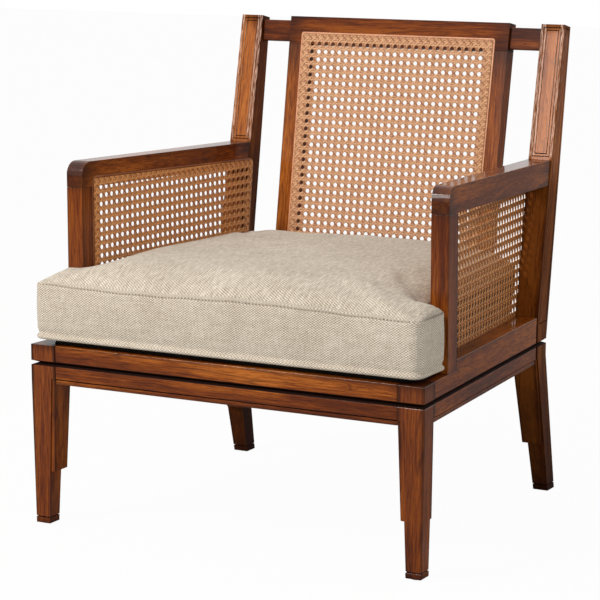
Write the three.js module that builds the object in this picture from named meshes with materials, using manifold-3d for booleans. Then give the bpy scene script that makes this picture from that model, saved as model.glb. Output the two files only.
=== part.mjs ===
// A planters chair: a low armchair in lacquered mahogany with caned arms, a caned back panel held
// between raked posts, and a loose T-shaped seat cushion on a black deck.
// Millimetres. X runs across the chair towards the sitter's left, Y from front to back, Z up.
// Every side piece is modelled once on the sitter's left and mirrored for the right.

import * as THREE from "three";
import { mergeVertices } from "three/addons/utils/BufferGeometryUtils.js";
import Module from "manifold-3d";

const wasm = await Module();
wasm.setup();

// Clearances
const fitGap = 0.3; // between pieces that touch
const overrunLength = 12; // how far a cutter passes the face that it cuts

// Plan of the frame, over the legs
const frontWidth = 700;
const backTaperWidth = 82; // the frame is this much narrower over the back posts
const frameDepth = 561; // front leg face to back post face at the seat

// Seat rails
const railTop = 297;
const railBottom = 234;
const railThickness = 22;
const railSetback = 1; // rail faces behind the leg faces
const armRailRiseHeight = 16.5; // side rails rise by this behind the arm posts

// V groove that runs round the frame
const grooveDropHeight = 30; // rail top to the bottom of the V
const grooveMouthWidth = 7.5;
const grooveDepth = 9;

// Set-back lip along the bottom of the rails, with a fine groove over it
const lipHeight = 7;
const lipSetback = 2;
const lipGrooveHeight = 1.6;
const lipGrooveDepth = 3.5;

// Front legs
const legSize = 45; // square at the rails
const footWidth = 25.8;
const footDepth = 26.9;
const footSideInset = 3.7;
const footFrontInset = 1.4;

// Inner lining of all the legs
const liningThickness = 7;
const liningSetback = 2;
const liningBottomHeight = 89;

// Fine groove above the floor that marks the foot
const footGrooveFloorHeight = 11;
const footGrooveHeight = 1.6;
const footGrooveDepth = 1.5;

// Back posts
const postWidth = 41.5;
const postHeight = 793;
const postSeatDepth = 48.5; // front to back at the rails
const postLeanDepth = 104.5; // the front face runs back by this from the rails to the top
const postTopDepth = 26; // square to the rake
const rearFootKickDepth = 19; // the foot's front face behind the frame
const rearFootWidth = 26.6;
const rearFootDepth = 28.5;
const jointGrooveWidth = 4.5; // where a side rail meets its post
const jointGrooveDepth = 3;

// Moulding cut in the front face of a post above the arm, and in its outer side face
const fieldMarginWidth = 4.8;
const fieldBeadWidth = 3.2;
const fieldGrooveWidth = 1.5;
const fieldDepth = 1.6;
const sideFieldFrontWidth = 8;
const sideFieldBackWidth = 5;
const sideFieldBottomGap = 4; // over the rails

// Arms
const armFrontSetback = 98;
const armFrontHeight = 582;
const armFallHeight = 11; // the top is lower by this at the post
const armRailDepth = 42; // height of the top rail in side view
const armFrontWidth = 31;
const armNoseRadius = 22;
const armPostDepth = 39;

// Caned back panel
const panelSeatSetback = 18.2; // its front face behind the posts' face at the rails
const panelTopSlotWidth = 57.5; // open slot between a post and the panel at the top
const panelFootSlotWidth = 62.5; // the same at the rails
const panelThickness = 26;
const stileWidth = 40;
const panelTopRailDepth = 48;
const panelFootRailDepth = 56;

// Short rails from the posts to the back panel
const connectorTopGap = 7;
const connectorDepth = 36.5;
const connectorThickness = 15;
const connectorSetback = 5;

// Cane webbing and the reed spline that holds it
const caneThickness = 1.6;
const caneLedgeWidth = 16; // woven ledge between the panel's opening and the spline
const caneTopLedgeWidth = 21; // the same along the top
const armCaneCornerRadius = 12;
const panelCaneCornerRadius = 4.5;
const splineWidth = 3;
const splineDepth = 5;
const splineStandHeight = 1; // height of the spline over the wood
const armNetColumns = 12;
const armNetRows = 7;
const backNetColumns = 10;
const backNetRows = 12;
const netGapShare = 0.62; // open part of one cell of the net

// Outline of the arm's cane at its spline, in side view
const armCaneFrontInset = 25; // behind the front of the arm
const armCaneFootGap = 1.5; // over the rails
const armCaneFrontTopGap = 24.4; // under the top of the arm
const armCaneBackTopGap = 28.9;
const armCaneBackFootInset = 39.2; // behind the face of the back post
const armCaneBackHeadInset = 14.9;

// Tenons
const tenonThickness = 8;
const railTenonLength = 20;
const railTenonLowInset = 13;
const railTenonTopInset = 7;
const tenonRootLength = 3; // into its own piece, so that the two fuse
const smallTenonLength = 13;
const smallTenonHeight = 22;
const stileTenonInset = 3; // from the inner edge of a stile to the tenon at its top

// Deck under the cushion, and the cleats and blocks that carry it
const deckThickness = 8.5;
const deckFrontInset = 14;
const deckSideInset = 20;
const deckClearance = 3;
const deckCornerCutLength = 22;
const cleatWidth = 18;
const cleatHeight = 22;
const backCleatWidth = 28;
const blockHeight = 32;
const blockFrontLength = 66;
const blockSideLength = 66;

// Screws
const screwHeadRadius = 4;
const screwHeadHeight = 2.6;
const screwRadius = 2;
const screwSides = 10;
const blockScrewLength = 34;
const blockScrewInset = 30; // from the leg or post along the rail
const blockScrewSeatDepth = 16; // wood under the screw head
const deckScrewDepth = 5.5; // into the deck

// Glides nailed under the feet
const glideRadius = 9;
const glideHeight = 1.3;
const glideNailRadius = 1.3;
const glideNailLength = 14;
const glideSides = 16;

// Seat cushion
const cushionRestGap = 0.4; // over the deck
const cushionBoxingHeight = 90; // bottom to the top seam
const cushionCrownHeight = 37;
const cushionOverhangLength = 2; // before the front legs
const cushionEarGap = 10; // before the arm posts
const cushionEarInset = 6; // inside the front legs' outer faces
const cushionNotchLength = 5; // length over which an ear steps in to the arm
const cushionSideGap = 3;
const cushionBackGap = 5.7; // before the back panel
const cushionDrawInDepth = 5; // sides pulled in between the corners
const cushionBulgeDepth = 5; // middle of the boxing stands out
const cushionCornerRadius = 16;
const cushionColumns = 14;
const cushionWallRings = 4;

// Colours and finishes
const mahogany = { color: 0x8a4a22, roughness: 0.3, metalness: 0 };
const cane = { color: 0xc58f5f, roughness: 0.6, metalness: 0 };
const reed = { color: 0xb9773f, roughness: 0.5, metalness: 0 };
const linen = { color: 0xcfc3a8, roughness: 0.95, metalness: 0 };
const blackDeck = { color: 0x15120f, roughness: 0.9, metalness: 0 };
const plainBeech = { color: 0xb98a5a, roughness: 0.7, metalness: 0 };
const steel = { color: 0xa8a49c, roughness: 0.4, metalness: 1 };
const nylon = { color: 0x3a2a20, roughness: 0.6, metalness: 0 };

// Lines and levels that the pieces share

const backWidth = frontWidth - backTaperWidth;
const armRailTop = railTop + armRailRiseHeight;
const grooveLevel = railTop - grooveDropHeight;
const sideFieldBottom = railTop + sideFieldBottomGap;
const railTenonLow = railBottom + railTenonLowInset;
const railTenonHigh = railTop - railTenonTopInset;
const postSeatFace = frameDepth - postSeatDepth;
const postTopFace = postSeatFace + postLeanDepth;
const postRake = postLeanDepth / (postHeight - railTop);
const rearFootFace = frameDepth + rearFootKickDepth;
const armBackHeight = armFrontHeight - armFallHeight;
const armSlope = (armBackHeight - armFrontHeight) / (postFace(armBackHeight) - armFrontSetback);
const postBackTop = postHeight - postTopDepth * Math.sin(Math.atan(postRake));
const postBackTopY = postTopFace + postTopDepth * Math.cos(Math.atan(postRake));
const liningTop = railBottom + lipHeight + lipGrooveHeight;

// Half width of the chair over its outer side faces
function outerX(y) {
  return THREE.MathUtils.lerp(frontWidth, backWidth, y / frameDepth) / 2;
}

// Inner faces of the arms, which widen towards the posts
function innerX(y) {
  const front = outerX(armFrontSetback) - armFrontWidth;
  const back = backWidth / 2 - postWidth;
  const share = (y - armFrontSetback) / (postFace(armBackHeight) - armFrontSetback);
  return THREE.MathUtils.lerp(front, back, share);
}

// Front face of a post at a height, vertical up to the top of the rails and raked above
function postFace(z) {
  return postSeatFace + postRake * Math.max(0, z - railTop);
}

// Back face of a post above the groove
function postBack(z) {
  return THREE.MathUtils.mapLinear(z, grooveLevel, postBackTop, frameDepth, postBackTopY);
}

function armTop(y) {
  return armFrontHeight + armSlope * (y - armFrontSetback);
}

// Shapes

function points2(pairs) {
  return pairs.map(([x, y]) => new THREE.Vector2(x, y));
}

function box(x0, x1, y0, y1, z0, z1) {
  const geometry = new THREE.BoxGeometry(x1 - x0, y1 - y0, z1 - z0);
  return geometry.translate((x0 + x1) / 2, (y0 + y1) / 2, (z0 + z1) / 2);
}

// The same box, grown on every side by the fit gap
function looseBox(x0, x1, y0, y1, z0, z1) {
  return box(x0 - fitGap, x1 + fitGap, y0 - fitGap, y1 + fitGap, z0 - fitGap, z1 + fitGap);
}

// An outline in the local X and Y, given thickness from z0 to z1
function prism(outline, z0, z1, holes = []) {
  const shape = new THREE.Shape(outline);
  shape.holes = holes.map((hole) => new THREE.Path(hole));
  const geometry = new THREE.ExtrudeGeometry(shape, { depth: z1 - z0, bevelEnabled: false });
  return geometry.translate(0, 0, z0);
}

// A side view, drawn in Y and Z, given width from x0 to x1
function sidePrism(outline, x0, x1) {
  const turn = new THREE.Matrix4().makeBasis(
    new THREE.Vector3(0, 1, 0),
    new THREE.Vector3(0, 0, 1),
    new THREE.Vector3(1, 0, 0),
  );
  return prism(outline, x0, x1).applyMatrix4(turn);
}

// A closed skin over rings of points; `flat` lays the end rings out for their caps
function loft(rings, flat = (p) => new THREE.Vector2(p.x, p.y)) {
  const count = rings[0].length;
  const position = rings.flat().flatMap((p) => [p.x, p.y, p.z]);
  const index = [];
  for (let r = 0; r + 1 < rings.length; r += 1) {
    for (let i = 0; i < count; i += 1) {
      const a = r * count + i;
      const b = r * count + ((i + 1) % count);
      index.push(a, b, b + count, a, b + count, a + count);
    }
  }
  const contour = rings[0].map(flat);
  const turning = THREE.ShapeUtils.area(contour) > 0;
  const last = (rings.length - 1) * count;
  for (const [a, b, c] of THREE.ShapeUtils.triangulateShape(contour, [])) {
    const same = THREE.ShapeUtils.area([contour[a], contour[b], contour[c]]) > 0 === turning;
    const [p, q, s] = same ? [a, b, c] : [a, c, b];
    index.push(p, s, q, last + p, last + q, last + s);
  }
  const geometry = new THREE.BufferGeometry();
  geometry.setAttribute("position", new THREE.Float32BufferAttribute(position, 3));
  geometry.setIndex(index);
  return geometry;
}

// A horizontal ring with corners at the given sides, for legs and posts
function planRing(z, x0, x1, y0, y1, outer = () => x1) {
  return [
    new THREE.Vector3(x0, y0, z),
    new THREE.Vector3(outer(y0), y0, z),
    new THREE.Vector3(outer(y1), y1, z),
    new THREE.Vector3(x0, y1, z),
  ];
}

// Moves every edge of a counter-clockwise outline inwards
function insetOutline(outline, distances) {
  const lines = outline.map((start, i) => {
    const along = outline[(i + 1) % outline.length].clone().sub(start).normalize();
    const inward = new THREE.Vector2(-along.y, along.x);
    const distance = Array.isArray(distances) ? distances[i] : distances;
    return { start: start.clone().addScaledVector(inward, distance), along };
  });
  return lines.map((line, i) => {
    const before = lines[(i + lines.length - 1) % lines.length];
    const apart = line.start.clone().sub(before.start);
    const reach = apart.cross(line.along) / before.along.cross(line.along);
    return before.start.clone().addScaledVector(before.along, reach);
  });
}

// Rounds the corners of a convex outline
function roundOutline(outline, radius, steps = 4) {
  return outline.flatMap((corner, i) => {
    const before = outline[(i + outline.length - 1) % outline.length].clone().sub(corner).normalize();
    const after = outline[(i + 1) % outline.length].clone().sub(corner).normalize();
    const half = Math.acos(before.dot(after)) / 2;
    const middle = before.clone().add(after).normalize();
    const centre = corner.clone().addScaledVector(middle, radius / Math.sin(half));
    const start = corner.clone().addScaledVector(before, radius / Math.tan(half)).sub(centre);
    const sweep = Math.PI - 2 * half;
    return Array.from({ length: steps + 1 }, (_, step) =>
      start.clone().rotateAround(new THREE.Vector2(), (sweep * step) / steps).add(centre),
    );
  });
}

// A ring between two outlines, from z0 to z1
function band(outer, inner, z0, z1) {
  return prism(outer, z0, z1, [inner]);
}

// Solids

function signedVolume(geometry) {
  const p = geometry.attributes.position;
  const index = geometry.index;
  const [a, b, c] = [new THREE.Vector3(), new THREE.Vector3(), new THREE.Vector3()];
  let volume = 0;
  for (let i = 0; i < index.count; i += 3) {
    a.fromBufferAttribute(p, index.getX(i));
    b.fromBufferAttribute(p, index.getX(i + 1));
    c.fromBufferAttribute(p, index.getX(i + 2));
    volume += a.dot(b.cross(c));
  }
  return volume;
}

// Turns the faces of an indexed geometry over
function flipFaces(geometry) {
  const index = geometry.index;
  for (let i = 0; i < index.count; i += 3) {
    const second = index.getX(i + 1);
    index.setX(i + 1, index.getX(i + 2));
    index.setX(i + 2, second);
  }
  return geometry;
}

function solid(source, matrix) {
  let geometry = source.clone();
  geometry.deleteAttribute("normal");
  geometry.deleteAttribute("uv");
  if (matrix) geometry.applyMatrix4(matrix);
  geometry = mergeVertices(geometry);
  if (signedVolume(geometry) < 0) flipFaces(geometry);
  const vertProperties = Float32Array.from(geometry.attributes.position.array);
  const triVerts = Uint32Array.from(geometry.index.array);
  return new wasm.Manifold(new wasm.Mesh({ numProp: 3, vertProperties, triVerts }));
}

function toGeometry(body) {
  const mesh = body.getMesh();
  const geometry = new THREE.BufferGeometry();
  geometry.setAttribute("position", new THREE.BufferAttribute(Float32Array.from(mesh.vertProperties), 3));
  geometry.setIndex(new THREE.BufferAttribute(Uint32Array.from(mesh.triVerts), 1));
  return geometry;
}

function cut(body, ...tools) {
  return tools.reduce((rest, tool) => rest.subtract(tool), body);
}

function join(body, ...others) {
  return others.reduce((sum, other) => sum.add(other), body);
}

// Nodes: each mesh has its own origin at the middle of its box

function addNode(group, name, geometry, look) {
  geometry.computeBoundingBox();
  const centre = geometry.boundingBox.getCenter(new THREE.Vector3());
  geometry.translate(-centre.x, -centre.y, -centre.z);
  const faceted = geometry.toNonIndexed();
  faceted.computeVertexNormals();
  const mesh = new THREE.Mesh(faceted, new THREE.MeshStandardMaterial(look));
  mesh.name = name;
  mesh.position.copy(centre);
  group.add(mesh);
}

function addPair(group, name, body, look) {
  const left = toGeometry(body);
  const right = flipFaces(left.clone().scale(-1, 1, 1));
  addNode(group, `${name}_left`, left, look);
  addNode(group, `${name}_right`, right, look);
}

// V groove round the frame: its section at a face, measured into the wood

const grooveMouthAt = (depth) => (grooveMouthWidth / 2) * (1 - depth / grooveDepth);

function frontGroove() {
  const rim = grooveMouthAt(-overrunLength);
  const section = points2([
    [-overrunLength, grooveLevel - rim],
    [grooveDepth, grooveLevel],
    [-overrunLength, grooveLevel + rim],
  ]);
  return solid(sidePrism(section, 0, outerX(0) + overrunLength));
}

function backGroove() {
  const rim = grooveMouthAt(-overrunLength);
  const section = points2([
    [frameDepth + overrunLength, grooveLevel - rim],
    [frameDepth + overrunLength, grooveLevel + rim],
    [frameDepth - grooveDepth, grooveLevel],
  ]);
  return solid(sidePrism(section, 0, outerX(0) + overrunLength));
}

function sideGroove() {
  const rim = grooveMouthAt(-overrunLength);
  const ring = (y) => [
    new THREE.Vector3(outerX(y) + overrunLength, y, grooveLevel - rim),
    new THREE.Vector3(outerX(y) - grooveDepth, y, grooveLevel),
    new THREE.Vector3(outerX(y) + overrunLength, y, grooveLevel + rim),
  ];
  const ends = [ring(-overrunLength), ring(frameDepth + overrunLength)];
  return solid(loft(ends, (p) => new THREE.Vector2(p.x, p.z)));
}

// Section of a seat rail: depth from its face, height. The top may be higher on the side rails.
function railSection(thickness, top) {
  const mouth = grooveMouthAt(railSetback);
  return points2([
    [lipSetback, railBottom],
    [thickness, railBottom],
    [thickness, top],
    [0, top],
    [0, grooveLevel + mouth],
    [grooveDepth - railSetback, grooveLevel],
    [0, grooveLevel - mouth],
    [0, liningTop],
    [lipGrooveDepth, liningTop],
    [lipGrooveDepth, railBottom + lipHeight],
    [lipSetback, railBottom + lipHeight],
  ]);
}

// Fine groove round a foot, cut on all four faces
function footGroove(low, high, level) {
  const z1 = level + footGrooveHeight;
  const reach = footGrooveDepth + overrunLength;
  const outer = planRing(level, low.x, high.x, low.y, high.y).map((p) => new THREE.Vector2(p.x, p.y));
  const wide = insetOutline(outer, -overrunLength);
  const deep = insetOutline(wide, reach);
  return solid(band(wide, deep, level, z1));
}

// Front leg: a tapered body, an inner lining that stops short of the floor, and a square head

function frontLeg() {
  const inner = frontWidth / 2 - legSize;
  const bodyInner = inner + liningThickness;
  const bodyBack = legSize - liningThickness;
  const footOuter = frontWidth / 2 - footSideInset;
  const footInner = footOuter - footWidth;
  const sole = glideHeight + fitGap;
  const foot = planRing(sole, footInner, footOuter, footFrontInset, footFrontInset + footDepth);
  const knee = planRing(liningTop, bodyInner, 0, 0, bodyBack, outerX);
  const body = solid(loft([foot, knee]));

  const share = (liningBottomHeight - sole) / (liningTop - sole);
  const at = (a, b) => THREE.MathUtils.lerp(a, b, share);
  const liningOuter = (y) => outerX(y) - liningSetback;
  const liningFoot = planRing(
    liningBottomHeight,
    at(footInner, bodyInner) - liningThickness,
    at(footOuter, frontWidth / 2) - liningSetback,
    at(footFrontInset, 0) + liningSetback,
    at(footFrontInset + footDepth, bodyBack) + liningThickness,
  );
  const liningHead = planRing(liningTop, inner, 0, liningSetback, legSize, liningOuter);
  const lining = solid(loft([liningFoot, liningHead]));

  const headRing = (z) => planRing(z, inner, 0, 0, legSize, outerX);
  const head = solid(loft([headRing(liningTop), headRing(railTop)]));
  const grooveBox = { x: footInner, y: footFrontInset };
  const grooveEnd = { x: footOuter, y: footFrontInset + footDepth };
  return cut(
    join(body, lining, head),
    frontGroove(),
    sideGroove(),
    footGroove(grooveBox, grooveEnd, footGrooveFloorHeight),
    solid(looseBox(...frontTenonBox())),
    solid(looseBox(...sideFrontTenonBox())),
    glideHole(frontGlidePlace()),
  );
}

function frontGlidePlace() {
  const x = frontWidth / 2 - footSideInset - footWidth / 2;
  return new THREE.Vector3(x, footFrontInset + footDepth / 2, 0);
}

function backGlidePlace() {
  return new THREE.Vector3(backWidth / 2 - rearFootWidth / 2, rearFootFace + rearFootDepth / 2, 0);
}

// Tenons of the rails, as box corners x0, x1, y0, y1, z0, z1

function frontTenonBox() {
  const shoulder = frontWidth / 2 - legSize;
  const y0 = railSetback + railThickness / 2;
  return [shoulder, shoulder + railTenonLength, y0, y0 + tenonThickness, railTenonLow, railTenonHigh];
}

function sideTenonX(y) {
  return (outerX(y) - grooveDepth + innerX(y)) / 2;
}

function sideFrontTenonBox() {
  const x = sideTenonX(legSize) - tenonThickness / 2;
  return [x, x + tenonThickness, legSize - railTenonLength, legSize, railTenonLow, railTenonHigh];
}

function sideBackTenonBox() {
  const x = sideTenonX(postSeatFace) - tenonThickness / 2;
  const y1 = postSeatFace + railTenonLength;
  return [x, x + tenonThickness, postSeatFace, y1, railTenonLow, railTenonHigh];
}

function backTenonBox() {
  const shoulder = innerX(frameDepth);
  const y0 = frameDepth - railSetback - railThickness / 2 - tenonThickness;
  return [shoulder, shoulder + railTenonLength, y0, y0 + tenonThickness, railTenonLow, railTenonHigh];
}

function frontRail() {
  const end = frontWidth / 2 - legSize - fitGap;
  const section = railSection(railThickness, railTop).map((p) => new THREE.Vector2(p.x + railSetback, p.y));
  const body = solid(sidePrism(section, -end, end));
  const [x0, x1, ...rest] = frontTenonBox();
  const tenons = [
    solid(box(x0 - tenonRootLength, x1, ...rest)),
    solid(box(-x1, tenonRootLength - x0, ...rest)),
  ];
  return cut(join(body, ...tenons), ...bothSides(frontBlockScrews()[0].hole));
}

function backRail() {
  const end = innerX(frameDepth) - fitGap;
  const section = railSection(railThickness, railTop).map(
    (p) => new THREE.Vector2(frameDepth - railSetback - p.x, p.y),
  );
  const body = solid(sidePrism(section, -end, end));
  const [x0, x1, ...rest] = backTenonBox();
  const tenons = [
    solid(box(x0 - tenonRootLength, x1, ...rest)),
    solid(box(-x1, tenonRootLength - x0, ...rest)),
  ];
  return cut(join(body, ...tenons), ...stileTenons(fitGap));
}

// Side rail: it fills the plan between the outer and inner lines, and steps up behind the arm post
function sideRail() {
  const y0 = legSize + fitGap;
  const y1 = postFace(armRailTop);
  const ring = (y) => {
    const face = outerX(y) - railSetback;
    return railSection(face - innerX(y), armRailTop).map((p) => new THREE.Vector3(face - p.x, y, p.y));
  };
  const body = solid(loft([ring(y0), ring(y1)], (p) => new THREE.Vector2(p.x, p.z)));
  const wide = [innerX(y1) - overrunLength, outerX(0) + overrunLength];
  const step = solid(box(...wide, 0, armFrontSetback + armPostDepth, railTop, armRailTop + overrunLength));
  const behind = postFace(postHeight) + overrunLength;
  const postSpace = points2([
    [postSeatFace - fitGap, 0],
    [behind, 0],
    [behind, postHeight],
    [postFace(postHeight) - fitGap, postHeight],
    [postSeatFace - fitGap, railTop],
  ]);
  const [fx0, fx1, fy0, fy1, ...fz] = sideFrontTenonBox();
  const [bx0, bx1, by0, by1, ...bz] = sideBackTenonBox();
  return cut(
    join(
      cut(body, step, solid(sidePrism(postSpace, ...wide))),
      solid(box(fx0, fx1, fy0, fy1 + tenonRootLength, ...fz)),
      solid(box(bx0, bx1, by0 - tenonRootLength, by1, ...bz)),
    ),
    solid(looseBox(...armPostFootTenon())),
    armSplineGroove(),
    frontBlockScrews()[1].hole,
    backBlockScrews()[1].hole,
  );
}

// Back posts

// Frame of the front face of a post: X across, Y up the rake, Z out of the face
function postFaceMatrix() {
  const angle = Math.atan(postRake);
  const up = new THREE.Vector3(0, Math.sin(angle), Math.cos(angle));
  const across = new THREE.Vector3(1, 0, 0);
  const matrix = new THREE.Matrix4().makeBasis(across, up, across.clone().cross(up));
  return matrix.setPosition(0, postTopFace, postHeight);
}

// Two fine grooves with a bead between them, round a field
function fieldMoulding(outline, depth, matrix) {
  const rings = [fieldMarginWidth, fieldMarginWidth + fieldGrooveWidth + fieldBeadWidth].map((margin) => {
    const outer = insetOutline(outline, margin);
    const inner = insetOutline(outer, fieldGrooveWidth);
    return solid(band(outer, inner, -depth, overrunLength), matrix);
  });
  return rings;
}

function postField() {
  const x0 = backWidth / 2 - postWidth;
  const x1 = backWidth / 2;
  const length = (postHeight - armBackHeight) / Math.cos(Math.atan(postRake));
  const outline = points2([
    [x0, -length],
    [x1, -length],
    [x1, 0],
    [x0, 0],
  ]);
  return fieldMoulding(outline, fieldDepth, postFaceMatrix());
}

function postSideField() {
  const face = backWidth / 2;
  const outline = points2([
    [postFace(sideFieldBottom), sideFieldBottom],
    [postBack(sideFieldBottom), sideFieldBottom],
    [postBackTopY, postBackTop],
    [postTopFace, postHeight],
  ]);
  const outer = insetOutline(outline, [0, sideFieldBackWidth, fieldMarginWidth, sideFieldFrontWidth]);
  const inner = insetOutline(outer, fieldGrooveWidth);
  const ring = sidePrism(outer, face - fieldDepth, face + overrunLength);
  const core = sidePrism(inner, face - fieldDepth - overrunLength, face + 2 * overrunLength);
  return cut(solid(ring), solid(core));
}

function backPost() {
  const outline = points2([
    [innerX(postSeatFace - overrunLength), postSeatFace - overrunLength],
    [outerX(postSeatFace - overrunLength), postSeatFace - overrunLength],
    [backWidth / 2, frameDepth],
    [backWidth / 2, postBackTopY + overrunLength],
    [backWidth / 2 - postWidth, postBackTopY + overrunLength],
    [backWidth / 2 - postWidth, postFace(armBackHeight)],
  ]);
  const profile = points2([
    [postSeatFace, liningTop],
    [frameDepth, liningTop],
    [frameDepth, grooveLevel],
    [postBackTopY, postBackTop],
    [postTopFace, postHeight],
    [postSeatFace, railTop],
  ]);
  const upper = solid(sidePrism(profile, 0, frontWidth)).intersect(solid(prism(outline, 0, postHeight)));

  const sole = glideHeight + fitGap;
  const outer = backWidth / 2;
  const footInner = outer - rearFootWidth;
  const footBack = rearFootFace + rearFootDepth;
  const bodyInner = innerX(frameDepth) + liningThickness;
  const bodyFace = postSeatFace + liningThickness;
  const kneeOuter = (y) => outerX(Math.min(y, frameDepth));
  const foot = planRing(sole, footInner, outer, rearFootFace, footBack);
  const knee = planRing(liningTop, bodyInner, 0, bodyFace, frameDepth, kneeOuter);
  const body = solid(loft([foot, knee]));

  const share = (liningBottomHeight - sole) / (liningTop - sole);
  const at = (a, b) => THREE.MathUtils.lerp(a, b, share);
  const liningFoot = planRing(
    liningBottomHeight,
    at(footInner, bodyInner) - liningThickness,
    outer - liningSetback,
    at(rearFootFace, bodyFace) - liningThickness,
    at(footBack, frameDepth) - liningSetback,
  );
  const liningHead = planRing(
    liningTop,
    innerX(frameDepth),
    0,
    postSeatFace,
    frameDepth - liningSetback,
    (y) => kneeOuter(y) - liningSetback,
  );
  const lining = solid(loft([liningFoot, liningHead]));

  const jointSlot = solid(
    box(
      outerX(postSeatFace) - railSetback - jointGrooveDepth,
      outerX(postSeatFace) + overrunLength,
      postSeatFace - overrunLength,
      postSeatFace + jointGrooveWidth,
      liningTop,
      armRailTop,
    ),
  );
  const footLow = { x: footInner, y: rearFootFace };
  const footHigh = { x: outer, y: footBack };
  return cut(
    join(upper, body, lining),
    backGroove(),
    sideGroove(),
    jointSlot,
    footGroove(footLow, footHigh, footGrooveFloorHeight),
    ...postField(),
    postSideField(),
    solid(looseBox(...sideBackTenonBox())),
    solid(looseBox(...backTenonBox())),
    solid(looseBox(...armRailTenon())),
    armSplineGroove(),
    connectorTenon(1, fitGap),
    glideHole(backGlidePlace()),
  );
}

// Arms

function armPlan(setback) {
  const y1 = postFace(armFrontHeight);
  return points2([
    [innerX(armFrontSetback), armFrontSetback],
    [outerX(armFrontSetback) - setback, armFrontSetback],
    [outerX(y1) - setback, y1],
    [innerX(y1), y1],
  ]);
}

const armUnderside = (y) => armTop(y) - armRailDepth;

function armPostFootTenon() {
  const x = sideTenonX(armFrontSetback) - tenonThickness / 2;
  const y0 = armFrontSetback + (armPostDepth - smallTenonHeight) / 2;
  const z0 = railTop - smallTenonLength;
  return [x, x + tenonThickness, y0, y0 + smallTenonHeight, z0, railTop + tenonRootLength];
}

function armPostHeadTenon() {
  const x = (outerX(armFrontSetback) + innerX(armFrontSetback)) / 2 - tenonThickness / 2;
  const y0 = armFrontSetback + (armPostDepth - smallTenonHeight) / 2;
  const z0 = armUnderside(armFrontSetback);
  return [x, x + tenonThickness, y0, y0 + smallTenonHeight, z0 - tenonRootLength, z0 + smallTenonLength];
}

function armRailTenon() {
  const level = armBackHeight - armRailDepth / 2;
  const shoulder = postFace(level);
  const x = (outerX(shoulder) + innerX(shoulder)) / 2 - tenonThickness / 2;
  const half = smallTenonHeight / 2;
  const y0 = shoulder - 2 * tenonRootLength;
  const y1 = shoulder + smallTenonLength;
  return [x, x + tenonThickness, y0, y1, level - half, level + half];
}

function armPost() {
  const y1 = armFrontSetback + armPostDepth;
  const profile = points2([
    [armFrontSetback, railTop + fitGap],
    [y1, railTop + fitGap],
    [y1, armUnderside(y1) - fitGap],
    [armFrontSetback, armUnderside(armFrontSetback) - fitGap],
  ]);
  const body = solid(sidePrism(profile, 0, frontWidth)).intersect(
    solid(prism(armPlan(railSetback), 0, postHeight)),
  );
  return cut(
    join(body, solid(box(...armPostFootTenon())), solid(box(...armPostHeadTenon()))),
    armSplineGroove(),
  );
}

function armTopRail() {
  const noseSteps = 6;
  const nose = Array.from({ length: noseSteps + 1 }, (_, i) => {
    const angle = (Math.PI / 2) * (1 - i / noseSteps);
    return new THREE.Vector2(
      armFrontSetback + armNoseRadius * (1 - Math.sin(angle)),
      armTop(armFrontSetback + armNoseRadius) - armNoseRadius * (1 - Math.cos(angle)),
    );
  });
  const rim = nose.reverse().map((p) => new THREE.Vector2(p.x, p.y));
  const backTop = postFace(armBackHeight) - fitGap;
  const backFoot = postFace(armBackHeight - armRailDepth) - fitGap;
  const profile = [
    new THREE.Vector2(armFrontSetback, armUnderside(armFrontSetback)),
    new THREE.Vector2(backFoot, armUnderside(backFoot)),
    new THREE.Vector2(backTop, armTop(backTop)),
    ...rim,
  ];
  const body = solid(sidePrism(profile, 0, frontWidth)).intersect(
    solid(prism(armPlan(railSetback), 0, postHeight)),
  );
  return cut(
    join(body, solid(box(...armRailTenon()))),
    solid(looseBox(...armPostHeadTenon())),
    armSplineGroove(),
  );
}

// Frame of the inner face of an arm: X along it to the back, Y up, Z outwards into the wood
function armFaceMatrix() {
  const start = new THREE.Vector3(innerX(armFrontSetback), armFrontSetback, 0);
  const end = new THREE.Vector3(innerX(postSeatFace), postSeatFace, 0);
  const along = end.clone().sub(start).normalize();
  const up = new THREE.Vector3(0, 0, 1);
  const matrix = new THREE.Matrix4().makeBasis(along, up, along.clone().cross(up));
  return matrix.setPosition(start);
}

// Distance along the inner face for a place given in Y
function alongArm(y) {
  const run = postSeatFace - armFrontSetback;
  const drift = innerX(postSeatFace) - innerX(armFrontSetback);
  return ((y - armFrontSetback) * Math.hypot(run, drift)) / run;
}

function armCaneOutline() {
  const front = armFrontSetback + armCaneFrontInset;
  const foot = railTop + armCaneFootGap;
  const backHead = armBackHeight - armCaneBackTopGap;
  return points2([
    [alongArm(front), foot],
    [alongArm(postFace(foot) + armCaneBackFootInset), foot],
    [alongArm(postFace(backHead) + armCaneBackHeadInset), backHead],
    [alongArm(front), armTop(front) - armCaneFrontTopGap],
  ]);
}

// The spline's ring and the groove for it, given the outline and corner radius of its outer edge
function splineBand(outline, radius, margin, z0, z1) {
  const outer = insetOutline(outline, -margin);
  const inner = insetOutline(outline, splineWidth + margin);
  return band(
    roundOutline(outer, radius + margin),
    roundOutline(inner, radius - splineWidth - margin),
    z0,
    z1,
  );
}

function armSplineGroove() {
  const ring = splineBand(
    armCaneOutline(),
    armCaneCornerRadius,
    fitGap,
    -overrunLength,
    splineDepth + fitGap,
  );
  return solid(ring, armFaceMatrix());
}

function armSpline() {
  const ring = splineBand(armCaneOutline(), armCaneCornerRadius, 0, -splineStandHeight, splineDepth);
  return solid(ring, armFaceMatrix());
}

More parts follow.
